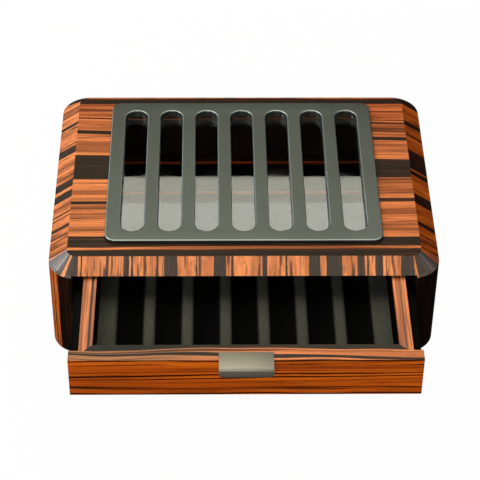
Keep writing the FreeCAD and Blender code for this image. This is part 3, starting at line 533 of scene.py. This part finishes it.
def eased_copy(node, width, skip=None):
    """A copy of a node's mesh, as a bmesh, with clean faces and rounded edges.

    An edge stays sharp if 'skip' says yes to both its ends. The width is in mm.
    """
    bm = bmesh.new()
    bm.from_mesh(nodes[node].data)
    bmesh.ops.remove_doubles(bm, verts=bm.verts, dist=SAME_POINT)
    bmesh.ops.dissolve_limit(bm, angle_limit=SAME_PLANE, verts=bm.verts, edges=bm.edges)
    sharp = [edge for edge in bm.edges if len(edge.link_faces) == 2 and edge.calc_face_angle(0) > SHARP_EDGE
             and not (skip and all(skip(corner.co) for corner in edge.verts))]
    bmesh.ops.bevel(bm, geom=sharp, offset=width * MM, segments=2, profile=0.5, affect="EDGES",
                    clamp_overlap=True)
    bm.normal_update()
    return bm


print("edges over", round(math.degrees(SHARP_EDGE)), "degrees get a round")

# %% Finished pieces
SHARP_SHADING = math.radians(40)


def settle(piece, body, slot, *replaced):
    """Hang a piece on its body and hide the nodes that it stands for. 'slot' is not used."""
    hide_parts(*replaced)
    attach(piece, body)


def finish_piece(bm, node, name, body, slot, materials, rule=None):
    """Turn a bmesh into the object that stands for a node, with its materials and its veneer map."""
    if rule:
        layer = bm.loops.layers.uv.new("veneer")
        for face in bm.faces:
            face.material_index, chart = rule(face.normal, face.calc_center_median())
            for loop in face.loops:
                loop[layer].uv = chart(loop.vert.co)
    for face in bm.faces:
        face.smooth = True
    mesh = bpy.data.meshes.new(name)
    bm.to_mesh(mesh)
    bm.free()
    for material in materials:
        mesh.materials.append(material)
    mesh.set_sharp_from_angle(angle=SHARP_SHADING)
    piece = add_object(name, mesh)
    piece.modifiers.new("even_shading", "WEIGHTED_NORMAL").keep_sharp = True
    settle(piece, body, slot, node)
    return piece


print("finished pieces shade sharp over", round(math.degrees(SHARP_SHADING)), "degrees")

# %% [markdown]
# ## Where a point lies round the case
# A stripe on a bevel or a wall keeps its place across the grain, however the surface turns. On the straight
# stretches that place is simply x or y. Round a corner it goes on growing with the angle, at the length of
# the corner's outer arc. That makes the bevel's stripes fan out, and the walls' stripes wrap without a join.

# %% Places round the case
QUARTER = math.pi / 2
HALFWAY = QUARTER / 2


def corner_turn(point):
    """How far round a corner a point lies, from 0 at the side to a quarter turn at the front or back."""
    past_x, past_y = abs(point.x) - CORNER_X, abs(point.y) - CORNER_Y
    if past_y <= 0:
        return 0.0
    if past_x <= 0:
        return QUARTER
    return math.atan2(past_y, past_x)


def along_side(point):
    """Distance from the front plane, carried on round the corners."""
    turned = corner_turn(point)
    reach = point.y if turned == 0 else math.copysign(CORNER_Y + CORNER * turned, point.y)
    return reach - FRONT_Y


def along_front(point):
    """Distance from the case's middle, carried on round the corners."""
    turned = QUARTER - corner_turn(point)
    return point.x if turned == 0 else math.copysign(CORNER_X + CORNER * turned, point.x)


print("a corner adds", round(CORNER * QUARTER / MM, 1), "mm to the way round")

# %% [markdown]
# ## Bare wood inside the case
# The undersides and the cut edges of the boards are plywood, stained dark so that nothing pale shows past
# the drawers. A veneer without bands would look too rich here, so this is a plain stretched noise.

# %% Stained plywood
def drawn_out(tree, changes, detail):
    """Noise drawn out along the piece. 'changes' says how often it changes in a metre of X, Y and Z."""
    place = add_node(tree, "ShaderNodeMapping", {"Vector": own_place(tree), "Scale": changes}).outputs[0]
    return noise(tree, place, 1.0, detail)


ply, tree, sockets = new_material("stained_ply", Roughness=0.6, Specular_IOR_Level=0.3)
fibres = drawn_out(tree, (60, 900, 900), 4.0)
fill(tree, sockets, {"Base Color": mixed(tree, fibres, (0.020, 0.010, 0.006, 1), (0.055, 0.028, 0.014, 1)),
                     "Normal": embossed(tree, fibres, 0.15, 0.2 * MM)})
print("material", ply.name)

# %% [markdown]
# ## The lid, the sides and the back
# One box map over the whole case would turn the grain at every edge. Instead a rule looks at which way each
# face points and where it lies. It picks the face's veneer by number from one list, and gives the chart
# that lays the veneer on it. The walls of the lid's opening are lipped with an offcut, which is dark but
# for its lowest millimetre. Where two boards meet, the edge isn't eased, so that the joint stays closed.

# %% Rules for the case
LEVEL, SLOPING, UPRIGHT = 0.97, 0.2, 0.5  # how far a face's normal points up
SLOPE_STRETCH = 1.5
LIPPING = 96.1 * MM
CASE_FINISHES = [lid_flat, left_bevel, right_bevel, front_bevel, back_bevel, ply, back_wall, side_left,
                 side_right, left_corner, right_corner]
(LID, LEFT_BEVEL, RIGHT_BEVEL, FRONT_BEVEL, BACK_BEVEL, BARE, BACK, LEFT_WALL, RIGHT_WALL, LEFT_CORNER,
 RIGHT_CORNER) = range(len(CASE_FINISHES))


def points_inward(normal, middle):
    """Whether an upright face looks towards the middle of the case."""
    return middle.x * normal.x + middle.y * normal.y < 0


def bevel_rule(middle):
    """For the bevel round the top. Halfway round each corner one veneer gives way to the next."""
    if corner_turn(middle) < HALFWAY:
        handled_and_highlit = corner_turn(middle) > 0 and middle.y < 0
        left, right = (LEFT_CORNER, RIGHT_CORNER) if handled_and_highlit else (LEFT_BEVEL, RIGHT_BEVEL)
        return (left if middle.x < 0 else right), lambda point: (point.z * SLOPE_STRETCH, along_side(point))
    finish = FRONT_BEVEL if middle.y < 0 else BACK_BEVEL
    return finish, lambda point: (point.z * SLOPE_STRETCH, along_front(point))


def lid_rule(normal, middle):
    """For the lid: its flat top, its bevel, the walls of its opening and its bare underside."""
    if normal.z > LEVEL:
        return LID, lambda point: (point.x, point.y - FRONT_Y)
    if normal.z > SLOPING:
        return bevel_rule(middle)
    if normal.z > -SLOPING and points_inward(normal, middle):
        return LID, lambda point: (point.x + point.y, point.z - LID_LOW + LIPPING)
    return BARE, lambda point: (point.x, point.y + point.z)


def wall_rule(normal, middle):
    """For the sides and the back, whose top millimetre is still part of the bevel."""
    if SLOPING < normal.z < LEVEL:
        return bevel_rule(middle)
    if abs(normal.z) > UPRIGHT or points_inward(normal, middle):
        return BARE, lambda point: (point.z, point.x + point.y)
    if middle.y > CORNER_Y and corner_turn(middle) > HALFWAY:
        return BACK, lambda point: (point.z, along_front(point))
    return (LEFT_WALL if middle.x < 0 else RIGHT_WALL), lambda point: (point.z, along_side(point))


print("the rules choose from", len(CASE_FINISHES), "finishes")

# %% Case pieces
CASE_EASE = 0.4
TOUCHING = 0.01 * MM


def at_joint(point):
    """Whether a point lies where the lid meets the walls, or a side meets the back."""
    outside = abs(point.x) > INSIDE_X - TOUCHING or point.y > INSIDE_BACK - TOUCHING
    on_lid_joint = abs(point.z - LID_LOW) < TOUCHING and outside
    on_back_joint = abs(abs(point.x) - INSIDE_X) < TOUCHING and point.y > INSIDE_BACK - TOUCHING
    return on_lid_joint or on_back_joint


for node, rule in (("lid_panel", lid_rule), ("left_side", wall_rule), ("right_side", wall_rule),
                   ("back_panel", wall_rule)):
    finish_piece(eased_copy(node, CASE_EASE, skip=at_joint), node, f"veneered_{node}", "case", "veneer",
                 CASE_FINISHES, rule)
print("lid, two sides and back veneered")

# %% [markdown]
# ## The drawers' boards
# Every drawer is made of the same boards, so one loop veneers them all. A board's rule looks at the way a
# face points: top faces wear the edge veneer, and upright faces wear the face veneer. The front and the
# box's front wall are measured from the same corner, so that the figure runs on over their joint.

# %% Drawer boards
BOARD_EASE = 0.35
FACES_UP = 0.6


def front_rule(base):
    """Rule for boards that run left to right. 'base' is the corner that the veneer is measured from."""
    def rule(normal, middle):
        if abs(normal.z) > FACES_UP:
            return 1, lambda point: (point.x, point.y - base.y)
        return 0, lambda point: (point.x + (point.y - base.y), point.z - base.z)
    return rule


def board_rule(base):
    """Rule for boards that run front to back."""
    def rule(normal, middle):
        if abs(normal.z) > FACES_UP:
            return 1, lambda point: (point.y - base.y, point.x)
        return 0, lambda point: (point.y - base.y + point.x, point.z - base.z)
    return rule


for drawer in ("upper", "lower"):
    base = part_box(f"{drawer}_front")[0]
    front_look = [drawer_face, drawer_edge], front_rule(base)
    back_look = [back_face, back_edge], front_rule(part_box(f"{drawer}_box_back")[0])
    side_look = [board_face, board_edge], board_rule(base)
    for part, (veneers, rule) in (("front", front_look), ("box_front", front_look), ("box_back", back_look),
                                  ("left_board", side_look), ("right_board", side_look)):
        node = f"{drawer}_{part}"
        finish_piece(eased_copy(node, BOARD_EASE), node, f"veneered_{node}", f"{drawer}_drawer", "veneer",
                     veneers, rule)
print("ten drawer boards veneered")

# %% [markdown]
# ## Metal, felt and rubber
# The window plate is anodised aluminium with a fine satin blast, and its milled edges are burnished bare.
# The slides' rails and runners are black electrocoated steel, coloured darker than real black paint as
# painted shade in the gaps beside the drawers, and their screws, ball cages and balls are bright zinc. The
# slides' stops are rubber, and the base stands on felt. All of them vary by tiny grains and by broad soft
# clouds, so one group gives both, and each finish sets its own colours over them.

# %% Speckle group
SPECKLE, given, result = new_group(
    "speckle", [("Grain Size", "Float", 0.0004), ("Cloud Size", "Float", 0.05)],
    [("Grain", "Float"), ("Cloud", "Float")])
here = own_place(SPECKLE)
for label, detail in (("Grain", 1.0), ("Cloud", 3.0)):
    per_metre = maths(SPECKLE, "DIVIDE", 1.0, given[f"{label} Size"])
    feed(SPECKLE, result[label], noise(SPECKLE, here, per_metre, detail))
print("speckle group has", len(SPECKLE.nodes), "nodes")

# %% Speckled finishes
GRAIN_SHARE = 0.6


def speckled_material(name, dark, light, smoothest, roughest, grain, relief, **values):
    """A finish whose colour, roughness and surface vary by grains of this size, in metres."""
    material, tree, sockets = new_material(name, **values)
    look = use_group(tree, SPECKLE, Grain_Size=grain)
    tint = maths(tree, "ADD", maths(tree, "MULTIPLY", look["Grain"], GRAIN_SHARE),
                 maths(tree, "MULTIPLY", look["Cloud"], 1 - GRAIN_SHARE))
    fill(tree, sockets, {
        "Base Color": mixed(tree, ranged(tree, tint, 0.3, 0.7), (*dark, 1), (*light, 1)),
        "Roughness": ranged(tree, look["Grain"], 0.25, 0.75, smoothest, roughest),
        "Normal": embossed(tree, look["Grain"], relief, grain / 3)})
    return material


anodised = speckled_material("anodised_grey", (0.042, 0.048, 0.041), (0.060, 0.067, 0.058), 0.29, 0.36,
                             0.0003, 0.10, Metallic=0.8, Specular_IOR_Level=0.4)
rim = speckled_material("burnished_rim", (0.125, 0.140, 0.134), (0.180, 0.200, 0.192), 0.22, 0.30,
                        0.0004, 0.06, Metallic=1.0)
# Darker than real black paint: painted shade in the gaps beside the drawers.
black_steel = speckled_material("black_electrocoat_painted_shade", (0.001, 0.001, 0.001), (0.003, 0.003, 0.003), 0.6, 0.75,
                                0.0006, 0.1, Specular_IOR_Level=0.02)
zinc = speckled_material("zinc_plate", (0.50, 0.51, 0.53), (0.70, 0.71, 0.73), 0.22, 0.34, 0.0006, 0.08,
                         Metallic=1.0)
felt = speckled_material("black_felt", (0.012, 0.012, 0.013), (0.035, 0.035, 0.037), 0.9, 1.0, 0.0005, 0.9,
                         Sheen_Weight=0.3)
rubber = speckled_material("black_rubber", (0.015, 0.015, 0.015), (0.03, 0.03, 0.03), 0.6, 0.75, 0.0006, 0.2)
print("speckled finishes:", anodised.name, rim.name, black_steel.name, zinc.name, felt.name, rubber.name)

# %% [markdown]
# ## Brushed nickel
# The pulls are folded from sheet steel, brushed lengthwise and nickel-plated. An anisotropic shader would
# stretch their highlights, but it draws no scratches. So the same drawn-out noise as in the plywood, only
# much finer, gives scratches that run from left to right.

# %% Pull finish
nickel, tree, sockets = new_material("brushed_nickel", Metallic=0.7)
scratch = drawn_out(tree, (140, 5200, 5200), 3.0)
fill(tree, sockets, {"Base Color": mixed(tree, scratch, (0.146, 0.134, 0.100, 1), (0.205, 0.189, 0.142, 1)),
                     "Roughness": ranged(tree, scratch, 0.2, 0.8, 0.42, 0.52),
                     "Normal": embossed(tree, scratch, 0.08, 0.1 * MM)})
print("material", nickel.name)

# %% [markdown]
# ## Window glass
# Glass has no grain of its own. What shows is the faint green of its body and a trace of handling: very
# broad, very weak changes of roughness, which a noise gives.

# %% Pane
glass, tree, sockets = new_material("window_pane", Transmission_Weight=1.0, IOR=1.5)
smear = noise(tree, own_place(tree), 30.0)
fill(tree, sockets, {"Base Color": mixed(tree, smear, (0.80, 0.84, 0.82, 1), (0.86, 0.89, 0.88, 1)),
                     "Roughness": ranged(tree, smear, 0.3, 0.8, 0.0, 0.03)})
print("material", glass.name)

# %% [markdown]
# ## Leatherette
# The trays are covered in a thin black leatherette with a pebbled grain. Handling makes it smoother on the
# ridges, whose colour is also painted lighter as a highlight, while in the grooves its colour is near black
# as painted shade. The mesh of a tray carries each point's height in its map, from 0 at the bottom to 1 on
# the ridges, and that drives it.

# %% Pebbled grain, painted ridge light and groove shade
PEBBLES_PER_METRE = 1300.0
MOTTLE_PER_METRE = 1100.0
# Where the painted ridge light begins, as a share of the tray's height.
RIDGE_LIGHT_STARTS = 0.76  # of the tray's height

leather, tree, sockets = new_material("black_leatherette", Specular_IOR_Level=0.015)
here = own_place(tree)
pebble = add_node(tree, "ShaderNodeTexVoronoi",
                  {"Vector": here, "Scale": PEBBLES_PER_METRE, "Randomness": 0.9},
                  feature="DISTANCE_TO_EDGE").outputs[0]
cloud = noise(tree, here, MOTTLE_PER_METRE, 3.0)
crease = ranged(tree, pebble, 0.0, 0.18)
height_map = add_node(tree, "ShaderNodeUVMap", uv_map="height").outputs[0]
raised = add_node(tree, "ShaderNodeSeparateXYZ", {0: height_map}).outputs["Y"]
# Painted light and shade: by height, the ridges' colour is lighter and the grooves' colour near black.
painted_ridge_light = ranged(tree, raised, RIDGE_LIGHT_STARTS, 1.0)
groove_shade = mixed(tree, crease, (0.0005, 0.0005, 0.0005, 1), (0.0018, 0.0018, 0.0016, 1))
highlight_mix = maths(tree, "MULTIPLY", crease, ranged(tree, cloud, 0.3, 0.7, 0.5, 1.0))
handled_and_highlit = mixed(tree, highlight_mix, (0.014, 0.014, 0.011, 1), (0.110, 0.109, 0.090, 1))
relief = maths(tree, "ADD", crease, maths(tree, "MULTIPLY", cloud, 0.8))
fill(tree, sockets, {"Base Color": mixed(tree, painted_ridge_light, groove_shade, handled_and_highlit),
                     "Roughness": ranged(tree, painted_ridge_light, 0.0, 1.0, 0.85, 0.55),
                     "Normal": embossed(tree, relief, 0.55, 0.3 * MM)})
print("material", leather.name)

# %% [markdown]
# ## Trays and linings
# A tray's ridges are soft where the leatherette is drawn over them. A bevel on the frame's faceted grooves
# would leave strips that catch the light. So the tray is drawn again as one profile along X: at each step
# the sharp groove's depth is averaged over a short stretch, which softens its shoulders.

# %% Profile of a tray
SLOT_PITCH = 26 * MM
SLOTS_EACH_SIDE = 3
GROOVE_HALF = 9.8 * MM
GROOVE_DEEP = 4.4 * MM
GROOVE_RADIUS = (GROOVE_HALF ** 2 + GROOVE_DEEP ** 2) / (2 * GROOVE_DEEP)
SHOULDER = 1.3 * MM
PROFILE_STEPS = 420
SOFTENING = [offset / 4 * SHOULDER for offset in range(-4, 5)]


def groove_depth(x):
    """How far the sharp-edged groove nearest to x lies under the ridges there."""
    number = max(-SLOTS_EACH_SIDE, min(SLOTS_EACH_SIDE, round(x / SLOT_PITCH)))
    aside = abs(x - number * SLOT_PITCH)
    if aside >= GROOVE_HALF:
        return 0.0
    return math.sqrt(GROOVE_RADIUS ** 2 - aside ** 2) - (GROOVE_RADIUS - GROOVE_DEEP)


print("grooves", round(2 * GROOVE_HALF / MM, 1), "mm wide and", round(groove_depth(0) / MM, 1), "mm deep")

# %% Covered trays
LINING_EASE = 0.25


def join_rings(bm, rings):
    """Join each closed ring of corners to the next one with four-cornered faces."""
    for ring, following in zip(rings, rings[1:]):
        for index in range(len(ring)):
            after = (index + 1) % len(ring)
            bm.faces.new((ring[index], ring[after], following[after], following[index]))


def covered_tray(low, high):
    """A tray as a bmesh: a strip of four-cornered rings along X, whose ridges have soft shoulders."""
    bm = bmesh.new()
    layer = bm.loops.layers.uv.new("height")
    rings = []
    for step in range(PROFILE_STEPS + 1):
        x = low.x + (high.x - low.x) * step / PROFILE_STEPS
        top = high.z - sum(groove_depth(x + offset) for offset in SOFTENING) / len(SOFTENING)
        rings.append([bm.verts.new((x, y, z))
                      for y, z in ((low.y, low.z), (high.y, low.z), (high.y, top), (low.y, top))])
    join_rings(bm, rings)
    bm.faces.new(rings[0])
    bm.faces.new(rings[-1])
    bmesh.ops.recalc_face_normals(bm, faces=bm.faces)
    for face in bm.faces:
        for loop in face.loops:
            loop[layer].uv = (loop.vert.co.x, (loop.vert.co.z - low.z) / (high.z - low.z))
    return bm


for drawer in ("upper", "lower"):
    body = f"{drawer}_drawer"
    node = f"{drawer}_pen_tray"
    finish_piece(covered_tray(*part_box(node)), node, f"covered_{node}", body, "leatherette", [leather])
    node = f"{drawer}_lining"
    finish_piece(eased_copy(node, LINING_EASE), node, f"covered_{node}", body, "leatherette", [leather])
print("two trays with", 2 * SLOTS_EACH_SIDE + 1, "grooves each, and two linings")

# %% [markdown]
# ## Window plate
# The plate is milled from one sheet, and the cutter leaves a small round along its top edges. A filled
# curve with a bevel could draw it, but it pinches the slots' ends. So every outline is drawn once for each
# level of the round, the levels are joined by strips, and the flat top and bottom are filled in between.

# %% Outlines of the plate
SLOT_HALF = Vector((8.1, 69.1)) * MM
PLATE_CORNER = 7 * MM
PLATE_ROUND = 0.7 * MM
ROUND_STEPS = 3
ARC_STEPS = 12


def rounded_outline(middle, half, radius):
    """Points round a rectangle with round corners. With a radius of half its width it is a slot."""
    points = []
    for index, (side_x, side_y) in enumerate(((1, 1), (-1, 1), (-1, -1), (1, -1))):
        centre = middle + Vector((side_x * (half.x - radius), side_y * (half.y - radius)))
        for step in range(ARC_STEPS + 1):
            angle = QUARTER * (index + step / ARC_STEPS)
            points.append(centre + radius * Vector((math.cos(angle), math.sin(angle))))
    return points


plate_low, plate_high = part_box("window_plate")
plate_middle = ((plate_low + plate_high) / 2).to_2d()
plate_half = ((plate_high - plate_low) / 2).to_2d()
# Each level is how far the edge stands back from the plate's full outline, and its height.
levels = [(0, plate_low.z)]
for step in range(ROUND_STEPS + 1):
    angle = QUARTER * step / ROUND_STEPS
    levels.append((PLATE_ROUND * (1 - math.cos(angle)), plate_high.z - PLATE_ROUND * (1 - math.sin(angle))))
# The plate's own outline shrinks where its edge stands back, and the slots grow.
shapes = [(plate_middle, plate_half, PLATE_CORNER, -1)]
for number in range(-SLOTS_EACH_SIDE, SLOTS_EACH_SIDE + 1):
    shapes.append((plate_middle + Vector((number * SLOT_PITCH, 0)), SLOT_HALF, SLOT_HALF.x, 1))
print("outlines:", len(shapes), "on", len(levels), "levels")

# %% Milled plate
SAME_HEIGHT = 0.001 * MM
ROUND_BEGINS = 0.15  # how far a normal points up where the round leaves the upright wall

bm = bmesh.new()
for middle, half, radius, grows in shapes:
    rings = []
    for back, height in levels:
        change = grows * back
        outline = rounded_outline(middle, half + Vector((change, change)), radius + change)
        rings.append([bm.verts.new((point.x, point.y, height)) for point in outline])
    join_rings(bm, rings)
bmesh.ops.remove_doubles(bm, verts=bm.verts, dist=SAME_HEIGHT)
for height in (plate_low.z, plate_high.z):
    open_edges = [edge for edge in bm.edges
                  if edge.is_boundary and abs(edge.verts[0].co.z - height) < SAME_HEIGHT]
    bmesh.ops.triangle_fill(bm, use_beauty=True, use_dissolve=False, edges=open_edges, normal=(0, 0, 1))
bmesh.ops.recalc_face_normals(bm, faces=bm.faces)


def plate_rule(normal, middle):
    """The round of each edge is burnished bare, and the rest is dyed."""
    on_edge = ROUND_BEGINS < abs(normal.z) < LEVEL
    return (1 if on_edge else 0), lambda point: (point.x, point.y)


plate = finish_piece(bm, "window_plate", "milled_window_plate", "case", "anodised_plate", [anodised, rim],
                     plate_rule)
print("plate with", len(shapes) - 1, "slots and", len(plate.data.polygons), "faces")

# %% [markdown]
# ## Pulls
# Each pull is one strip of sheet metal, let into the front's top edge and folded down over its face. It is
# made the same way: a flat strip is laid along the fold's side view, and a thickness is added to it. Its
# free end has rounded corners, which the strip's rows give by growing shorter. The two studs under it are
# welded on, so the pull stands for them too.

# %% Side view of a pull
PULL_BEND = 2.2 * MM
PULL_CORNER = 2.3 * MM
BEND_STEPS = 8


def side_view(low, high):
    """The strip's rows, from the front's top edge to the free end: y, z and half the row's length."""
    half = (high.x - low.x) / 2
    turns = [QUARTER * step / BEND_STEPS for step in range(BEND_STEPS + 1)]
    rows = [(high.y, high.z, half), (low.y + PULL_BEND, high.z, half)]
    rows += [(low.y + PULL_BEND * (1 - math.sin(turn)), high.z - PULL_BEND * (1 - math.cos(turn)), half)
             for turn in turns[1:]]
    rows += [(low.y, low.z + PULL_CORNER * (1 - math.sin(turn)), half - PULL_CORNER * (1 - math.cos(turn)))
             for turn in turns]
    return rows


print("a pull is bent round", round(PULL_BEND / MM, 1), "mm in", BEND_STEPS, "steps")

# %% Folded pulls
PULL_THICK = 1.5 * MM
PULL_EASE = 0.25 * MM
PULL_SHARP = math.radians(50)

for drawer in ("upper", "lower"):
    bm = bmesh.new()
    rows = [[bm.verts.new((side * reach, y, z)) for side in (-1, 1)]
            for y, z, reach in side_view(*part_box(f"{drawer}_pull"))]
    for row, following in zip(rows, rows[1:]):
        bm.faces.new((row[0], row[1], following[1], following[0]))
    bmesh.ops.recalc_face_normals(bm, faces=bm.faces)
    if sum(face.normal.z for face in bm.faces) < 0:
        bmesh.ops.reverse_faces(bm, faces=bm.faces)
    mesh = bpy.data.meshes.new(f"folded_{drawer}_pull")
    bm.to_mesh(mesh)
    bm.free()
    mesh.shade_smooth()
    mesh.materials.append(nickel)
    pull = add_object(f"folded_{drawer}_pull", mesh)
    thicken = pull.modifiers.new("thickness", "SOLIDIFY")
    thicken.thickness = PULL_THICK
    thicken.offset = -1
    thicken.use_even_offset = True
    ease = pull.modifiers.new("eased_edges", "BEVEL")
    ease.width = PULL_EASE
    ease.segments = 2
    ease.limit_method = "ANGLE"
    ease.angle_limit = PULL_SHARP
    settle(pull, f"{drawer}_drawer", "satin_nickel", f"{drawer}_pull", f"{drawer}_pull_studs")
print("two pulls of", len(rows), "rows each")

# %% [markdown]
# ## The frame's own pieces
# The slides, the glass, the base and the other hidden boards need no new mesh. Their edges are small or out
# of sight, so each keeps the frame's mesh and only takes the finish that its slot asks for.

# %% Finishes on frame nodes
SLOT_FINISH = {"veneer": ply, "plywood": ply, "glass": glass, "anodised_plate": anodised,
               "satin_nickel": nickel, "zinc_steel": zinc, "black_steel": black_steel, "leatherette": leather,
               "felt": felt, "rubber": rubber}
for part in frame["record"]["subparts"]:
    mesh = nodes[part["node"]].data
    for index in range(len(mesh.materials)):
        mesh.materials[index] = SLOT_FINISH[part["material_slot"]]

# %% [markdown]
# ## Paper floor and surroundings
# The chest stands on a sweep of white paper, so bright that it has no shading of its own but for the soft
# shadow at the feet. A floor that only catches shadows would leave nothing to reflect. So the paper glows
# near white wherever the background is seen, straight or in a reflection or through glass, and keeps a
# small share of real shading. To light the chest it is only grey, and so are the surroundings.

# %% Paper floor
FLOOR_HALF = 6.0
FLOOR_DROP = 0.2 * MM  # keeps the paper and the felt out of one plane
PAPER_GLOW = 0.975
WHITE = (1, 1, 1, 1)


def background_rays(tree):
    """1 for the rays that show the background: straight, in a reflection or through glass."""
    rays = add_node(tree, "ShaderNodeLightPath").outputs
    plain = maths(tree, "MAXIMUM", rays["Is Camera Ray"], rays["Is Transmission Ray"])
    return maths(tree, "MAXIMUM", plain, rays["Is Glossy Ray"])


def flat_mesh(name, low, high):
    """A level rectangle between two corners."""
    (left, front), (right, back) = low, high
    mesh = bpy.data.meshes.new(name)
    mesh.from_pydata([(left, front, 0), (right, front, 0), (right, back, 0), (left, back, 0)], [],
                     [(0, 1, 2, 3)])
    return mesh


floor = add_object("paper_floor",
                   flat_mesh("paper_floor", (-FLOOR_HALF, -FLOOR_HALF), (FLOOR_HALF, FLOOR_HALF)))
floor.location.z = -FLOOR_DROP
paper, tree, sockets = new_material("white_paper", Base_Color=(0.6, 0.6, 0.6, 1), Roughness=0.9)
seen = maths(tree, "MULTIPLY", background_rays(tree), PAPER_GLOW)
glow = add_node(tree, "ShaderNodeEmission", {"Color": WHITE, "Strength": 1.0}).outputs[0]
blend = add_node(tree, "ShaderNodeMixShader",
                 {0: seen, 1: tree.nodes["Principled BSDF"].outputs[0], 2: glow}).outputs[0]
feed(tree, tree.nodes["Material Output"].inputs["Surface"], blend)
floor.data.materials.append(paper)
print("paper floor", 2 * FLOOR_HALF, "m wide")

# %% World
WORLD_FILL = 0.14

world = bpy.data.worlds.new("studio")
bpy.context.scene.world = world
world.use_nodes = True
fill(world.node_tree, world.node_tree.nodes["Background"].inputs, {
    "Strength": ranged(world.node_tree, background_rays(world.node_tree), 0.0, 1.0, WORLD_FILL, 1.0),
    "Color": WHITE})
print("the surroundings light the chest at", WORLD_FILL, "of white")

# %% [markdown]
# ## Lamps
# The main lamp is a long softbox overhead. Its far edge is seen as a sharp line in the window's glass, so
# its place follows from the height of the lid. A small box on the left brings out the bevels, and a wide
# one in front fills the open drawer's shadows. A softbox is even over its face, so each lamp is given by
# that brightness, and its power follows from its size.

# %% Softboxes
def soft_lamp(name, place, size, radiance, aim=None, tint=(1, 1, 1)):
    """A rectangular lamp of an even brightness. With no aim it hangs level and looks down."""
    data = bpy.data.lights.new(name, "AREA")
    data.color = tint
    data.shape = "RECTANGLE"
    data.size, data.size_y = size
    data.energy = radiance * math.pi * size[0] * size[1]
    lamp = add_object(name, data)
    lamp.location = place
    if aim:
        lamp.rotation_euler = (Vector(aim) - Vector(place)).to_track_quat("-Z", "Y").to_euler()


BOX_HEIGHT = 1.35
BOX_FRONT = -0.35
EDGE_SIGHT = math.radians(39)  # how steeply the box's far edge is seen from the lid
BOX_BACK = (BOX_HEIGHT - LID_TOP) / math.tan(EDGE_SIGHT)
soft_lamp("overhead_softbox", (-0.15, (BOX_BACK + BOX_FRONT) / 2, BOX_HEIGHT), (1.3, BOX_BACK - BOX_FRONT),
          3.05, tint=(1.0, 0.985, 0.83))
soft_lamp("left_softbox", (-1.25, -0.10, 1.05), (0.6, 0.6), 7.0, (0, 0, 0.05))
soft_lamp("front_fill", (-0.3, -1.9, 0.9), (1.2, 0.9), 4.5, (0, 0, 0.03))
print("the overhead box ends", round(BOX_BACK, 2), "m behind the case's middle")

# %% [markdown]
# ## Cards for the reflections
# Polished wood and glass show what stands round them, so a studio puts cards there. Dark flags behind and
# beside the chest keep the black bands black. Lit cards on the left and the right, and a low cool one
# behind on the left, brighten the slopes that face them. Two mats on the floor keep the white paper from
# washing out the walls. The cards are seen in reflections alone, so they don't light the dull surfaces.

# %% Card helpers
def reflected_card(name, mesh, strength, tint=(1, 1, 0.97)):
    """A card, grey or lit, that is seen in reflections alone."""
    card = add_object(name, mesh)
    card.visible_camera = False
    card.visible_diffuse = False
    card.visible_shadow = False
    mesh.materials.append(new_material(name, Base_Color=(0, 0, 0, 1), Specular_IOR_Level=0.0,
                                       Emission_Color=(*tint, 1), Emission_Strength=strength)[0])


def standing_card(name, points, low, high, strength, **look):
    """A card that stands along the points, from one height to another."""
    mesh = bpy.data.meshes.new(name)
    mesh.from_pydata([(x, y, z) for x, y in points for z in (low, high)], [],
                     [(foot, foot + 2, foot + 3, foot + 1) for foot in range(0, 2 * len(points) - 2, 2)])
    reflected_card(name, mesh, strength, **look)


print("cards can be put up")

# %% Flags, lit cards and mats
FLAG_BACK = BOX_BACK + 0.02
FLAG_TOP = BOX_HEIGHT + 0.08
standing_card("dark_flags", [(-1.9, 0.9), (-1.5, FLAG_BACK), (1.5, FLAG_BACK), (1.9, 0.1), (1.9, -1.0)], 0.0,
              FLAG_TOP, 0.0)
standing_card("left_card", [(-1.2, 1.3), (-1.6, 0.4), (-1.3, -0.8)], 0.6, 2.4, 3.6)
standing_card("low_card", [(-1.02, 0.80), (-0.58, 1.12)], 0.0, 0.6, 2.8, tint=(0.86, 1, 1.05))
standing_card("right_card", [(1.6, 0.2), (1.5, -0.9)], 0.6, 2.4, 2.6)
reflected_card("dark_mat", flat_mesh("dark_mat", (-1.2, -0.25), (1.2, 1.2)), 0.02)
reflected_card("grey_mat", flat_mesh("grey_mat", (-1.2, -1.4), (1.2, -0.25)), 0.4)
print("three lamps and six cards, the flags", round(FLAG_BACK, 2), "m behind")

# %% [markdown]
# ## The end

# %% Finish
print("all pieces, lamps and cards are in place")
